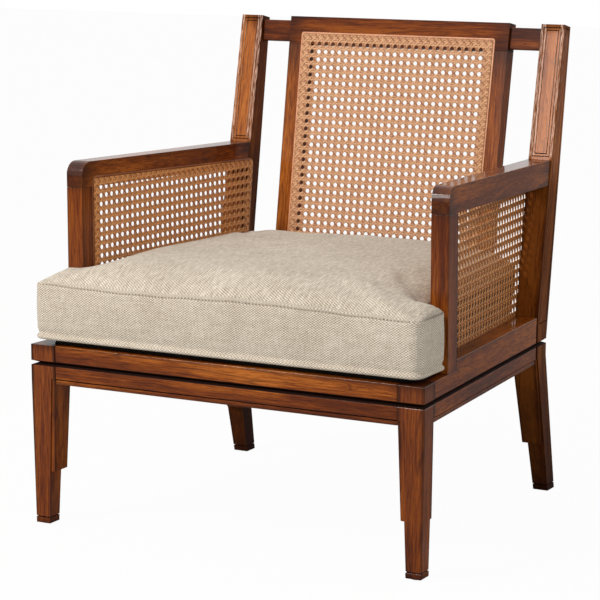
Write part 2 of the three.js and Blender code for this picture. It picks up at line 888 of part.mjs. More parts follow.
// Open cells of a net, as shares of a four-sided field with its corners in order
function netGaps(field, columns, rows) {
  const [a, b, c, d] = field;
  const at = (u, v) => a.clone().lerp(b, u).lerp(d.clone().lerp(c, u), v);
  const rimShare = (1 - netGapShare) / 2;
  const gaps = [];
  for (let i = 0; i < columns; i += 1) {
    for (let j = 0; j < rows; j += 1) {
      const [u0, u1] = [(i + rimShare) / columns, (i + 1 - rimShare) / columns];
      const [v0, v1] = [(j + rimShare) / rows, (j + 1 - rimShare) / rows];
      gaps.push([at(u0, v0), at(u1, v0), at(u1, v1), at(u0, v1)]);
    }
  }
  return gaps;
}

// A flat sheet with its gaps cut through
function net(sheet, gaps, z0, z1, matrix) {
  const tools = gaps.map((gap) => solid(prism(gap, z0 - overrunLength, z1 + overrunLength), matrix));
  return cut(solid(prism(sheet, z0, z1), matrix), ...tools);
}

function armCane() {
  const edge = insetOutline(armCaneOutline(), splineWidth + fitGap);
  const sheet = roundOutline(edge, armCaneCornerRadius - splineWidth);
  const field = insetOutline(
    points2([
      [alongArm(armFrontSetback + armPostDepth), armRailTop],
      [alongArm(postFace(armRailTop)), armRailTop],
      [alongArm(postFace(armUnderside(postSeatFace))), armUnderside(postSeatFace)],
      [alongArm(armFrontSetback + armPostDepth), armUnderside(armFrontSetback + armPostDepth)],
    ]),
    fitGap,
  );
  const gaps = netGaps(field, armNetColumns, armNetRows);
  return net(sheet, gaps, -fitGap - caneThickness, -fitGap, armFaceMatrix());
}

// Back panel, drawn in its own frame: X across, Y up the rake from the seat rail, Z out of the front face

const panelFoot = new THREE.Vector3(0, postSeatFace + panelSeatSetback, railTop);
const panelRake = Math.atan((postTopFace - panelFoot.y) / (postHeight - railTop));
const panelLength = (postHeight - railTop) / Math.cos(panelRake);
const panelTopWidth = backWidth - 2 * (postWidth + panelTopSlotWidth);
const panelFootWidth = backWidth - 2 * (postWidth + panelFootSlotWidth);

function panelFrame() {
  const frame = new THREE.Group();
  frame.position.copy(panelFoot);
  frame.rotation.x = Math.PI / 2 - panelRake;
  frame.updateMatrix();
  return frame;
}

// Height up the panel of its horizontal foot, at a depth behind the front face
const footCut = (depth) => (fitGap + depth * Math.sin(panelRake)) / Math.cos(panelRake);
const panelHalf = (v) => THREE.MathUtils.lerp(panelFootWidth, panelTopWidth, v / panelLength) / 2;
const caneHalf = (v) => panelHalf(v) - stileWidth;

function panelSide() {
  return points2([
    [footCut(0), 0],
    [panelLength, 0],
    [panelLength, -panelThickness],
    [footCut(panelThickness), -panelThickness],
  ]);
}

function panelFront(outline) {
  return prism(outline, -panelThickness - overrunLength, overrunLength);
}

const stileTop = panelLength - panelTopRailDepth;

function stile() {
  const face = points2([
    [caneHalf(0), 0],
    [panelHalf(0), 0],
    [panelHalf(stileTop), stileTop - fitGap],
    [caneHalf(stileTop), stileTop - fitGap],
  ]);
  const body = solid(sidePrism(panelSide(), 0, panelTopWidth)).intersect(solid(panelFront(face)));
  const toPanel = panelFrame().matrix.clone().invert();
  return cut(
    join(body, solid(stileTenonBox(0), toPanel), stileTopTenon(0)),
    panelSplineGroove(),
    footRailTenon(fitGap),
  );
}

// Depth range of the tenons inside the panel, behind the spline's groove
function panelTenonDepths(grow) {
  const middle = -panelThickness / 2 - splineDepth / 2;
  return [middle - tenonThickness / 2 - grow, middle + tenonThickness / 2 + grow];
}

// Tenon of the left stile up into the top rail
function stileTopTenon(grow) {
  const x0 = caneHalf(stileTop) + stileTenonInset;
  return solid(
    box(
      x0 - grow,
      x0 + smallTenonHeight + grow,
      stileTop - tenonRootLength,
      stileTop + smallTenonLength + grow,
      ...panelTenonDepths(grow),
    ),
  );
}

// Tenon of a stile into the back seat rail, in the chair's own frame
function stileTenonBox(grow) {
  const middle = (panelFootWidth - stileWidth) / 2;
  const half = tenonThickness / 2 + grow;
  const railFace = frameDepth - railSetback - railThickness;
  const stileBack = panelFoot.y + panelThickness / Math.cos(panelRake);
  const centre = (railFace + stileBack) / 2;
  return box(
    middle - half,
    middle + half,
    centre - half,
    centre + half,
    railTop - smallTenonLength - grow,
    railTop + tenonRootLength + grow,
  );
}

function stileTenons(grow) {
  return bothSides(solid(stileTenonBox(grow)));
}

// A solid and its mirror image across the chair
function bothSides(body) {
  return [body, solid(flipFaces(toGeometry(body).scale(-1, 1, 1)))];
}

// Tenon of the foot rail into the left stile
function footRailTenon(grow) {
  const middle = panelFootRailDepth / 2;
  const shoulder = caneHalf(middle);
  const tall = smallTenonHeight / 2 + grow;
  return solid(
    box(
      shoulder - tenonRootLength,
      shoulder + smallTenonLength + grow,
      middle - tall,
      middle + tall,
      ...panelTenonDepths(grow),
    ),
  );
}

// A rail across the panel between two heights, with its half width as a function of height
function panelRail(half, v0, v1) {
  const face = points2([
    [-half(v0), v0],
    [half(v0), v0],
    [half(v1), v1],
    [-half(v1), v1],
  ]);
  const slab = solid(sidePrism(panelSide(), -panelTopWidth, panelTopWidth));
  return slab.intersect(solid(panelFront(face)));
}

function panelFootRail() {
  const body = panelRail((v) => caneHalf(v) - fitGap, 0, panelFootRailDepth);
  return cut(join(body, ...bothSides(footRailTenon(0))), panelSplineGroove());
}

// The top rail runs the full width over the stiles, and the connectors are tenoned into its ends
function panelTopRail() {
  return cut(
    panelRail(panelHalf, stileTop, panelLength),
    panelSplineGroove(),
    ...bothSides(stileTopTenon(fitGap)),
    ...bothSides(connectorTenonLocal(-1, fitGap)),
  );
}

// The opening between the panel's stiles and rails, taller at the top by a given height
function panelOpening(extraHeight = 0) {
  const v0 = panelFootRailDepth;
  const v1 = stileTop + extraHeight;
  return points2([
    [-caneHalf(v0), v0],
    [caneHalf(v0), v0],
    [caneHalf(v1), v1],
    [-caneHalf(v1), v1],
  ]);
}

function panelCaneOutline() {
  return insetOutline(panelOpening(caneTopLedgeWidth - caneLedgeWidth), -caneLedgeWidth);
}

function panelSplineGroove() {
  const foot = -splineDepth - fitGap;
  return solid(splineBand(panelCaneOutline(), panelCaneCornerRadius, fitGap, foot, overrunLength));
}

function panelSpline() {
  return solid(
    splineBand(panelCaneOutline(), panelCaneCornerRadius, 0, -splineDepth, splineStandHeight),
  );
}

function panelCane() {
  const edge = insetOutline(panelCaneOutline(), splineWidth + fitGap);
  const sheet = roundOutline(edge, panelCaneCornerRadius - splineWidth);
  const gaps = netGaps(insetOutline(panelOpening(), fitGap), backNetColumns, backNetRows);
  return net(sheet, gaps, fitGap, fitGap + caneThickness);
}

// Connectors, drawn in the panel's frame so that they lie along the rake

const connectorHigh = panelLength - connectorTopGap;
const connectorLow = connectorHigh - connectorDepth;

// Tenon at one end of a connector: 1 is the post's end and -1 the panel's
function connectorTenonLocal(end, grow) {
  const middle = (connectorLow + connectorHigh) / 2;
  const depth = -connectorSetback - connectorThickness / 2;
  const inner = panelHalf(middle);
  const outer = backWidth / 2 - postWidth;
  const atPost = [outer - tenonRootLength, outer + smallTenonLength];
  const atPanel = [inner - smallTenonLength, inner + tenonRootLength];
  const [x0, x1] = end > 0 ? atPost : atPanel;
  const half = tenonThickness / 2 + grow;
  const tall = smallTenonHeight / 2 + grow;
  return solid(box(x0 - grow, x1 + grow, middle - tall, middle + tall, depth - half, depth + half));
}

function connectorTenon(end, grow) {
  return solid(toGeometry(connectorTenonLocal(end, grow)), panelFrame().matrix);
}

function connector() {
  const outer = backWidth / 2 - postWidth - fitGap;
  const face = points2([
    [panelHalf(connectorLow) + fitGap, connectorLow],
    [outer, connectorLow],
    [outer, connectorHigh],
    [panelHalf(connectorHigh) + fitGap, connectorHigh],
  ]);
  const body = solid(prism(face, -connectorSetback - connectorThickness, -connectorSetback));
  return join(body, connectorTenonLocal(1, 0), connectorTenonLocal(-1, 0));
}

// Screws, drawn along the local Y with the head at the origin and the point upwards

function screwBody(length, grow, headRoom) {
  const profile = points2([
    [0, -headRoom],
    [screwHeadRadius + grow, -headRoom],
    [screwHeadRadius + grow, screwHeadHeight],
    [screwRadius + grow, screwHeadHeight + grow],
    [screwRadius + grow, length - screwRadius + grow],
    [0, length + grow],
  ]);
  return new THREE.LatheGeometry(profile, screwSides);
}

// A screw and the hole for it, from the head's seat along a direction
function screw(seat, direction, length) {
  const turn = new THREE.Quaternion().setFromUnitVectors(new THREE.Vector3(0, 1, 0), direction);
  const matrix = new THREE.Matrix4().compose(seat, turn, new THREE.Vector3(1, 1, 1));
  return {
    body: solid(screwBody(length, 0, 0), matrix),
    hole: solid(screwBody(length, fitGap, blockFrontLength), matrix),
  };
}

const blockMiddle = railTop - blockHeight / 2;
const toFront = new THREE.Vector3(0, -1, 0);
const toBack = new THREE.Vector3(0, 1, 0);
const toSide = new THREE.Vector3(1, 0, 0);

// A screw through a block, with its head's seat at a place in plan
function blockScrew(x, y, direction) {
  return screw(new THREE.Vector3(x, y, blockMiddle), direction, blockScrewLength);
}

function frontBlockScrews() {
  const inside = railSetback + railThickness + fitGap;
  const x = frontWidth / 2 - legSize - blockScrewInset;
  const y = legSize + blockScrewInset;
  return [
    blockScrew(x, inside + blockScrewSeatDepth, toFront),
    blockScrew(innerX(y) - blockScrewSeatDepth, y, toSide),
  ];
}

function backBlockScrews() {
  const inside = backCleatFace() - fitGap;
  const x = innerX(postSeatFace) - blockScrewInset;
  const y = inside - blockScrewInset;
  return [
    blockScrew(x, inside - blockScrewSeatDepth, toBack),
    blockScrew(innerX(y) - blockScrewSeatDepth, y, toSide),
  ];
}

function deckScrew(x, y) {
  const foot = railTop - blockHeight;
  return screw(
    new THREE.Vector3(x, y, foot),
    new THREE.Vector3(0, 0, 1),
    blockHeight + fitGap + deckScrewDepth,
  );
}

// Corner blocks

const deckScrewShare = 0.35; // place of a deck screw from the long side of its block to the corner
const backCleatFace = () => frameDepth - railSetback - railThickness - fitGap - backCleatWidth;

function frontBlockPlan() {
  const face = railSetback + railThickness + fitGap;
  const legX = frontWidth / 2 - legSize - fitGap;
  const legY = legSize + fitGap;
  const reachY = legSize + blockSideLength;
  return points2([
    [legX - blockFrontLength, face],
    [legX, face],
    [legX, legY],
    [innerX(legY) - fitGap, legY],
    [innerX(reachY) - fitGap, reachY],
  ]);
}

function backBlockPlan() {
  const face = backCleatFace() - fitGap;
  const reachY = face - blockSideLength;
  return points2([
    [innerX(face) - blockFrontLength, face],
    [innerX(reachY) - fitGap, reachY],
    [innerX(face) - fitGap, face],
  ]);
}

function frontDeckScrew() {
  const [start, , corner, , end] = frontBlockPlan();
  const place = start.add(end).divideScalar(2).lerp(corner, deckScrewShare);
  return deckScrew(place.x, place.y);
}

function backDeckScrew() {
  const [start, end, corner] = backBlockPlan();
  const place = start.add(end).divideScalar(2).lerp(corner, deckScrewShare);
  return deckScrew(place.x, place.y);
}

function frontBlock() {
  const holes = frontBlockScrews().map((item) => item.hole);
  const body = solid(prism(frontBlockPlan(), railTop - blockHeight, railTop));
  return cut(body, ...holes, frontDeckScrew().hole);
}

function backBlock() {
  const holes = backBlockScrews().map((item) => item.hole);
  const body = solid(prism(backBlockPlan(), railTop - blockHeight, railTop));
  return cut(body, ...holes, backDeckScrew().hole);
}

// Cleats and deck

function sideCleat() {
  const y0 = legSize + blockSideLength + fitGap;
  const y1 = backCleatFace() - fitGap - blockSideLength - fitGap;
  const outline = points2([
    [innerX(y0) - fitGap - cleatWidth, y0],
    [innerX(y0) - fitGap, y0],
    [innerX(y1) - fitGap, y1],
    [innerX(y1) - fitGap - cleatWidth, y1],
  ]);
  return solid(prism(outline, railTop - cleatHeight, railTop));
}

function backCleat() {
  const end = innerX(frameDepth) - fitGap;
  const y0 = backCleatFace();
  const body = solid(box(-end, end, y0, y0 + backCleatWidth, railTop - cleatHeight, railTop));
  return cut(body, ...bothSides(backBlockScrews()[0].hole));
}

function deck() {
  const y0 = railSetback + deckFrontInset;
  const earBack = armFrontSetback - deckClearance;
  const back = panelFoot.y - deckClearance;
  const inside = (y) => innerX(y) - deckClearance;
  const ear = (y) => outerX(y) - deckSideInset;
  const half = [
    [ear(y0) - deckCornerCutLength, y0],
    [ear(y0), y0 + deckCornerCutLength],
    [ear(earBack), earBack],
    [inside(earBack), earBack],
    [inside(back), back],
  ];
  const outline = points2([...half, ...half.map(([x, y]) => [-x, y]).reverse()]);
  const z0 = railTop + fitGap;
  const body = solid(prism(outline, z0, z0 + deckThickness));
  return cut(body, ...bothSides(frontDeckScrew().hole), ...bothSides(backDeckScrew().hole));
}

// Glides

function glideShape(grow, headRoom) {
  const profile = points2([
    [0, -headRoom],
    [glideRadius + grow, -headRoom],
    [glideRadius + grow, glideHeight],
    [glideNailRadius + grow, glideHeight + grow],
    [glideNailRadius + grow, glideNailLength - glideNailRadius + grow],
    [0, glideNailLength + grow],
  ]);
  return new THREE.LatheGeometry(profile, glideSides);
}

function glideMatrix(place) {
  const turn = new THREE.Quaternion().setFromAxisAngle(new THREE.Vector3(1, 0, 0), Math.PI / 2);
  return new THREE.Matrix4().compose(place, turn, new THREE.Vector3(1, 1, 1));
}

function glide(place) {
  return solid(glideShape(0, 0), glideMatrix(place));
}

function glideHole(place) {
  return solid(glideShape(fitGap, overrunLength), glideMatrix(place));
}

// Cushion: a grid over its plan for the top and the bottom, joined by a boxing that bulges

const cushionFoot = railTop + fitGap + deckThickness + cushionRestGap;
const cushionSeam = cushionFoot + cushionBoxingHeight;
const cushionFront = -cushionOverhangLength;
const cushionEarBack = armFrontSetback - cushionEarGap;
const cushionBackFoot = panelFoot.y - cushionBackGap;

// Y stations from front to back; the two at the arm's corner make the step of the T
function cushionRows() {
  const frontShares = [0, 0.06, 0.2, 0.45, 0.75, 1];
  const backShares = [0, 0.1, 0.3, 0.5, 0.7, 0.88, 0.97, 1];
  const front = frontShares.map((share) => THREE.MathUtils.lerp(cushionFront, cushionEarBack, share));
  const start = cushionEarBack + cushionNotchLength;
  const back = backShares.map((share) => THREE.MathUtils.lerp(start, cushionBackFoot, share));
  return [...front, ...back];
}

function cushionHalf(y) {
  const pull = (from, to) => cushionDrawInDepth * Math.sin((Math.PI * (y - from)) / (to - from));
  if (y <= cushionEarBack) {
    const round = cushionCornerRadius * (1 - Math.min(1, (y - cushionFront) / cushionCornerRadius)) ** 2;
    return frontWidth / 2 - cushionEarInset - round - pull(cushionFront, cushionEarBack) / 2;
  }
  const start = cushionEarBack + cushionNotchLength;
  const near = Math.max(0, 1 - (cushionBackFoot - y) / cushionCornerRadius);
  const side = innerX(y) - cushionSideGap - cushionBulgeDepth;
  return side - pull(start, cushionBackFoot) - cushionCornerRadius * near ** 2;
}

// Rise of the top over its seam, from 0 at the edge to 1 over the middle
function cushionRise(u, v) {
  const across = 1 - Math.abs(u) ** 3;
  const along = 1 - Math.abs(v) ** 4;
  return Math.sqrt(Math.max(0, across)) * Math.sqrt(Math.max(0, along));
}

function cushion() {
  const rows = cushionRows();
  const columns = cushionColumns;
  const positions = [];
  const index = [];
  const add = (x, y, z) => positions.push(x, y, z) / 3 - 1;
  const middle = (cushionFront + cushionBackFoot) / 2;
  const run = cushionBackFoot - cushionFront;
  const place = (i, j) => {
    const u = (2 * i) / columns - 1;
    const y = rows[j];
    const bow = cushionDrawInDepth * (1 - u * u) * (1 - Math.min(1, (y - cushionFront) / cushionEarBack));
    return { u, v: (y - middle) / (run / 2), x: Math.sin((u * Math.PI) / 2) * cushionHalf(y), y: y + bow };
  };
  const backLean = cushionBoxingHeight * Math.tan(panelRake);
  const lean = (y) => (backLean * Math.max(0, y - cushionEarBack)) / (cushionBackFoot - cushionEarBack);
  const top = rows.map((_, j) =>
    Array.from({ length: columns + 1 }, (__, i) => {
      const p = place(i, j);
      return add(p.x, p.y + lean(p.y), cushionSeam + cushionCrownHeight * cushionRise(p.u, p.v));
    }),
  );
  const bottom = rows.map((_, j) =>
    Array.from({ length: columns + 1 }, (__, i) => {
      const p = place(i, j);
      return add(p.x, p.y, cushionFoot);
    }),
  );
  const quad = (a, b, c, d) => index.push(a, b, c, a, c, d);
  for (let j = 0; j + 1 < rows.length; j += 1) {
    for (let i = 0; i < columns; i += 1) {
      quad(top[j][i], top[j][i + 1], top[j + 1][i + 1], top[j + 1][i]);
      quad(bottom[j][i], bottom[j + 1][i], bottom[j + 1][i + 1], bottom[j][i + 1]);
    }
  }
  const last = rows.length - 1;
  const edge = [];
  for (let i = 0; i < columns; i += 1) edge.push([0, i]);
  for (let j = 0; j < last; j += 1) edge.push([j, columns]);
  for (let i = columns; i > 0; i -= 1) edge.push([last, i]);
  for (let j = last; j > 0; j -= 1) edge.push([j, 0]);
  const at = (k) => new THREE.Vector3().fromArray(positions, 3 * k);
  const rings = [edge.map(([j, i]) => bottom[j][i])];
  for (let r = 1; r < cushionWallRings; r += 1) {
    const share = r / cushionWallRings;
    rings.push(
      edge.map(([j, i], k) => {
        const [jb, ib] = edge[(k + edge.length - 1) % edge.length];
        const [jn, iN] = edge[(k + 1) % edge.length];
        const along = at(bottom[jn][iN]).sub(at(bottom[jb][ib]));
        const out = new THREE.Vector3(along.y, -along.x, 0).normalize();
        const swell = cushionBulgeDepth * Math.sin(Math.PI * share);
        const p = at(bottom[j][i]).lerp(at(top[j][i]).setZ(cushionSeam), share);
        p.addScaledVector(out, swell);
        return add(p.x, p.y, p.z);
      }),
    );
  }
  rings.push(edge.map(([j, i]) => top[j][i]));
  for (let r = 0; r + 1 < rings.length; r += 1) {
    for (let k = 0; k < edge.length; k += 1) {
      const n = (k + 1) % edge.length;
      quad(rings[r][k], rings[r][n], rings[r + 1][n], rings[r + 1][k]);
    }
  }
  const geometry = new THREE.BufferGeometry();
  geometry.setAttribute("position", new THREE.Float32BufferAttribute(positions, 3));
  geometry.setIndex(index);
  return solid(geometry);
}

// Assembly

const chair = new THREE.Group();

const seatFrame = new THREE.Group();
addPair(seatFrame, "front_leg", frontLeg(), mahogany);
addPair(seatFrame, "back_post", backPost(), mahogany);
addNode(seatFrame, "front_seat_rail", toGeometry(frontRail()), mahogany);
addNode(seatFrame, "back_seat_rail", toGeometry(backRail()), mahogany);
addPair(seatFrame, "side_rail", sideRail(), mahogany);
addPair(seatFrame, "front_corner_block", frontBlock(), plainBeech);
addPair(seatFrame, "back_corner_block", backBlock(), plainBeech);
addPair(seatFrame, "front_block_screw_a", frontBlockScrews()[0].body, steel);
addPair(seatFrame, "front_block_screw_b", frontBlockScrews()[1].body, steel);
addPair(seatFrame, "back_block_screw_a", backBlockScrews()[0].body, steel);
addPair(seatFrame, "back_block_screw_b", backBlockScrews()[1].body, steel);
addPair(seatFrame, "side_cleat", sideCleat(), plainBeech);
addNode(seatFrame, "back_cleat", toGeometry(backCleat()), plainBeech);
addNode(seatFrame, "seat_deck", toGeometry(deck()), blackDeck);
addPair(seatFrame, "front_deck_screw", frontDeckScrew().body, steel);
addPair(seatFrame, "back_deck_screw", backDeckScrew().body, steel);
addPair(seatFrame, "front_glide", glide(frontGlidePlace()), nylon);
addPair(seatFrame, "back_glide", glide(backGlidePlace()), nylon);

const arms = new THREE.Group();
addPair(arms, "arm_post", armPost(), mahogany);
addPair(arms, "arm_top_rail", armTopRail(), mahogany);
addPair(arms, "arm_cane", armCane(), cane);
addPair(arms, "arm_spline", armSpline(), reed);

const backPanel = panelFrame();
addPair(backPanel, "back_stile", stile(), mahogany);
addNode(backPanel, "back_top_rail", toGeometry(panelTopRail()), mahogany);
addNode(backPanel, "back_bottom_rail", toGeometry(panelFootRail()), mahogany);
addNode(backPanel, "back_cane", toGeometry(panelCane()), cane);
addNode(backPanel, "back_spline", toGeometry(panelSpline()), reed);
addPair(backPanel, "back_connector", connector(), mahogany);

const seatCushion = new THREE.Group();
addNode(seatCushion, "seat_cushion", toGeometry(cushion()), linen);

chair.add(seatFrame, arms, backPanel, seatCushion);

// The chair's origin is under the middle of its box, on the floor
const size = new THREE.Box3().setFromObject(chair, true);
const centre = size.getCenter(new THREE.Vector3());
chair.position.set(-centre.x, -centre.y, -size.min.z);

export default chair;
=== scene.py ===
# Planters chair: eased and lacquered mahogany, woven cane with reed splines, and a linen seat cushion.
# Metres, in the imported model's frame. X to the sitter's left, Y to the back, Z up.

import math

import bmesh
import bpy
from bmesh.types import BMEdge, BMFace, BMVert
from mathutils import Matrix, Vector


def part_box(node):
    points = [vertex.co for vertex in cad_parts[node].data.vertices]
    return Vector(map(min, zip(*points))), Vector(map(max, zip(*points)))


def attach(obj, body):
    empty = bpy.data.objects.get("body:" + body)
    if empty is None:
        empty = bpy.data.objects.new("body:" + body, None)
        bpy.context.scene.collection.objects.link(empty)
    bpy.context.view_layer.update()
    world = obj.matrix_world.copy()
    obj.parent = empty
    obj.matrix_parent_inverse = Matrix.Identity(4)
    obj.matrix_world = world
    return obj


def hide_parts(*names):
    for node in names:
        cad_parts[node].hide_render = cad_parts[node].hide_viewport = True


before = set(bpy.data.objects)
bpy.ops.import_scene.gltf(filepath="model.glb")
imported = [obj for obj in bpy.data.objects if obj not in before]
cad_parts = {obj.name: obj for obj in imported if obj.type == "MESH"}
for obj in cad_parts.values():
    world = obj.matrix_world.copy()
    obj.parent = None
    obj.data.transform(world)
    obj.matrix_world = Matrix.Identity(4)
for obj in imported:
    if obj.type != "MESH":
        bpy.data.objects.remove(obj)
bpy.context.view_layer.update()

MM = 0.001

# Sizes shared with the frame
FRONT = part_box("front_leg_left")[0].y  # faces of the front legs
RAIL_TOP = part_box("front_seat_rail")[1].z
RAIL_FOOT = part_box("front_seat_rail")[0].z
FRAME_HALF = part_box("front_leg_left")[1].x
FRAME_DEPTH = 561 * MM
TAPER = 41 * MM  # each side narrows by this over the frame's depth
ARM_SETBACK = 98 * MM
ARM_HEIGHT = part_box("arm_top_rail_left")[1].z
ARM_BACK_HEIGHT = 571 * MM
ARM_FALL = 11 * MM  # of the arm's top, from its front to its back
ARM_WIDTH = 31 * MM
POST_WIDTH = 41.5 * MM
SEAT_RUN = 512.5 * MM  # from the front legs' faces back to the posts' faces, at the seat
POST_SEAT_FACE = FRONT + SEAT_RUN
POST_LEAN = 104.5 * MM
POST_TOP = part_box("back_post_left")[1].z
POST_RAKE = math.atan2(POST_LEAN, POST_TOP - RAIL_TOP)
POST_HALF = FRAME_HALF - TAPER
PANEL_FOOT = POST_SEAT_FACE + 18.2 * MM
PANEL_RAKE = math.atan2(POST_SEAT_FACE + POST_LEAN - PANEL_FOOT, POST_TOP - RAIL_TOP)
PANEL_LENGTH = (POST_TOP - RAIL_TOP) / math.cos(PANEL_RAKE)
PANEL_TOP_HALF = 210 * MM
PANEL_FOOT_HALF = 205 * MM
STILE = 40 * MM
PANEL_TOP_RAIL = 48 * MM
PANEL_FOOT_RAIL = 56 * MM
CANE_LEDGE = 16 * MM
CANE_TOP_LEDGE = 21 * MM
SPLINE = 3 * MM
GROOVE_LEVEL = RAIL_TOP - 30 * MM
GROOVE_MOUTH = 7.5 * MM
LIP_GROOVE = (RAIL_FOOT + 7 * MM, RAIL_FOOT + 8.6 * MM)  # lowest and highest level
FOOT_GROOVE = (11 * MM, 12.6 * MM)
FIELD_DEPTH = 1.6 * MM
BEAD_REACH = 9.5 * MM  # from a post's side to the inner groove of its field


def arm_inner(y):
    """Half the width between the arms' inner faces, at a depth behind the front legs' faces."""
    front = FRAME_HALF - TAPER * ARM_SETBACK / FRAME_DEPTH - ARM_WIDTH
    post = SEAT_RUN + math.tan(POST_RAKE) * (ARM_BACK_HEIGHT - RAIL_TOP)
    share = (y - ARM_SETBACK) / (post - ARM_SETBACK)
    return front + (POST_HALF - POST_WIDTH - front) * share


# Finishes


class Socket:
    """A shader value, on which Python's operators add Math nodes."""

    def __init__(self, finish, output):
        self.finish = finish
        self.output = output

    def math(self, operation, *values):
        return self.finish.add("ShaderNodeMath", {"operation": operation}, dict(enumerate(values)))

    def __add__(self, other):
        return self.math("ADD", self, other)

    def __radd__(self, other):
        return self.math("ADD", other, self)

    def __sub__(self, other):
        return self.math("SUBTRACT", self, other)

    def __rsub__(self, other):
        return self.math("SUBTRACT", other, self)

    def __mul__(self, other):
        return self.math("MULTIPLY", self, other)

    def __abs__(self):
        return self.math("ABSOLUTE", self)

    def sin(self):
        return self.math("SINE", self)

    def fraction(self):
        return self.math("FRACT", self)

    def least(self, other):
        return self.math("MINIMUM", self, other)

    def most(self, other):
        return self.math("MAXIMUM", self, other)

    def step(self, low, high):
        """Smooth rise from 0 at low to 1 at high."""
        span = {"interpolation_type": "SMOOTHSTEP"}
        sockets = {"Value": self, "From Min": low, "From Max": high, "To Min": 0.0, "To Max": 1.0}
        return self.finish.add("ShaderNodeMapRange", span, sockets)


class Finish:
    """The nodes of a material or of the world."""

    def __init__(self, name, owner=None):
        self.material = owner or bpy.data.materials.new(name)
        self.material.use_nodes = True
        self.tree = self.material.node_tree
        self.tree.nodes.clear()

    def add(self, kind, settings=None, sockets=None, out=0):
        """Adds a node: its settings first, then the values or links of its sockets."""
        node = self.tree.nodes.new(kind)
        for key, value in (settings or {}).items():
            if key == "stops":
                self.set_stops(node.color_ramp, value)
            else:
                setattr(node, key, value)
        for key, value in (sockets or {}).items():
            if isinstance(value, Socket):
                self.tree.links.new(value.output, node.inputs[key])
            else:
                node.inputs[key].default_value = value
        return Socket(self, node.outputs[out]) if node.outputs else None

    def set_stops(self, color_ramp, stops):
        while len(color_ramp.elements) < len(stops):
            color_ramp.elements.new(1.0)
        for element, (position, color) in zip(color_ramp.elements, stops):
            element.position = position
            element.color = color

    def place(self):
        return self.add("ShaderNodeTexCoord", out="Object")

    def facing(self):
        return self.add("ShaderNodeTexCoord", out="Normal")

    def noise(self, vector, scale, detail, roughness=0.5, distortion=0.0):
        sockets = {"Vector": vector, "Scale": scale, "Detail": detail}
        sockets.update({"Roughness": roughness, "Distortion": distortion})
        return self.add("ShaderNodeTexNoise", None, sockets, "Fac")

    def grain(self, vector, scale, detail, roughness=0.5, distortion=0.0, shift=(0, 0, 0)):
        """Noise that is drawn out by a scale of its own along each axis."""
        return self.noise(self.moved(vector, shift, scale=scale), 1.0, detail, roughness, distortion)

    def moved(self, vector, location=(0, 0, 0), rotation=(0, 0, 0), scale=(1, 1, 1)):
        sockets = {"Vector": vector, "Location": location, "Rotation": rotation, "Scale": scale}
        return self.add("ShaderNodeMapping", {"vector_type": "POINT"}, sockets)

    def axis(self, vector, number):
        return self.add("ShaderNodeSeparateXYZ", None, {0: vector}, number)

    def combined(self, x, y, z):
        return self.add("ShaderNodeCombineXYZ", None, {0: x, 1: y, 2: z})

    def along(self, vector, direction):
        sockets = {0: vector, 1: direction}
        return self.add("ShaderNodeVectorMath", {"operation": "DOT_PRODUCT"}, sockets, "Value")

    def mix(self, factor, first, second):
        settings = {"data_type": "RGBA", "clamp_factor": True}
        return self.add("ShaderNodeMix", settings, {0: factor, 6: first, 7: second}, 2)

    def ramp(self, factor, stops):
        return self.add("ShaderNodeValToRGB", {"stops": stops}, {0: factor})

    def surface(self, color, roughness, specular=0.5, relief=None, more=None):
        """Ends the material. The relief is a height, the depth that it stands for, and its strength."""
        sockets = {"Base Color": color, "Roughness": roughness, "Specular IOR Level": specular}
        sockets.update(more or {})
        if relief:
            bump = dict(zip(("Height", "Distance", "Strength"), relief))
            sockets["Normal"] = self.add("ShaderNodeBump", None, bump)
        shader = self.add("ShaderNodeBsdfPrincipled", None, sockets)
        self.add("ShaderNodeOutputMaterial", None, {"Surface": shader})
        return self.material


def srgb(red, green, blue):
    """A colour given in display values from 0 to 255, as the linear values that a shader takes."""

    def linear(value):
        share = value / 255
        return share / 12.92 if share <= 0.04045 else ((share + 0.055) / 1.055) ** 2.4

    return (linear(red), linear(green), linear(blue), 1.0)


def gloss(lacquer=0.3, roughness=0.13, pores=0.14 * MM, dulled=0.0):
    """The lacquer over the wood, its roughness, the depth of the pores, and how far dark shades dull it."""
    return (lacquer, roughness, pores, dulled)


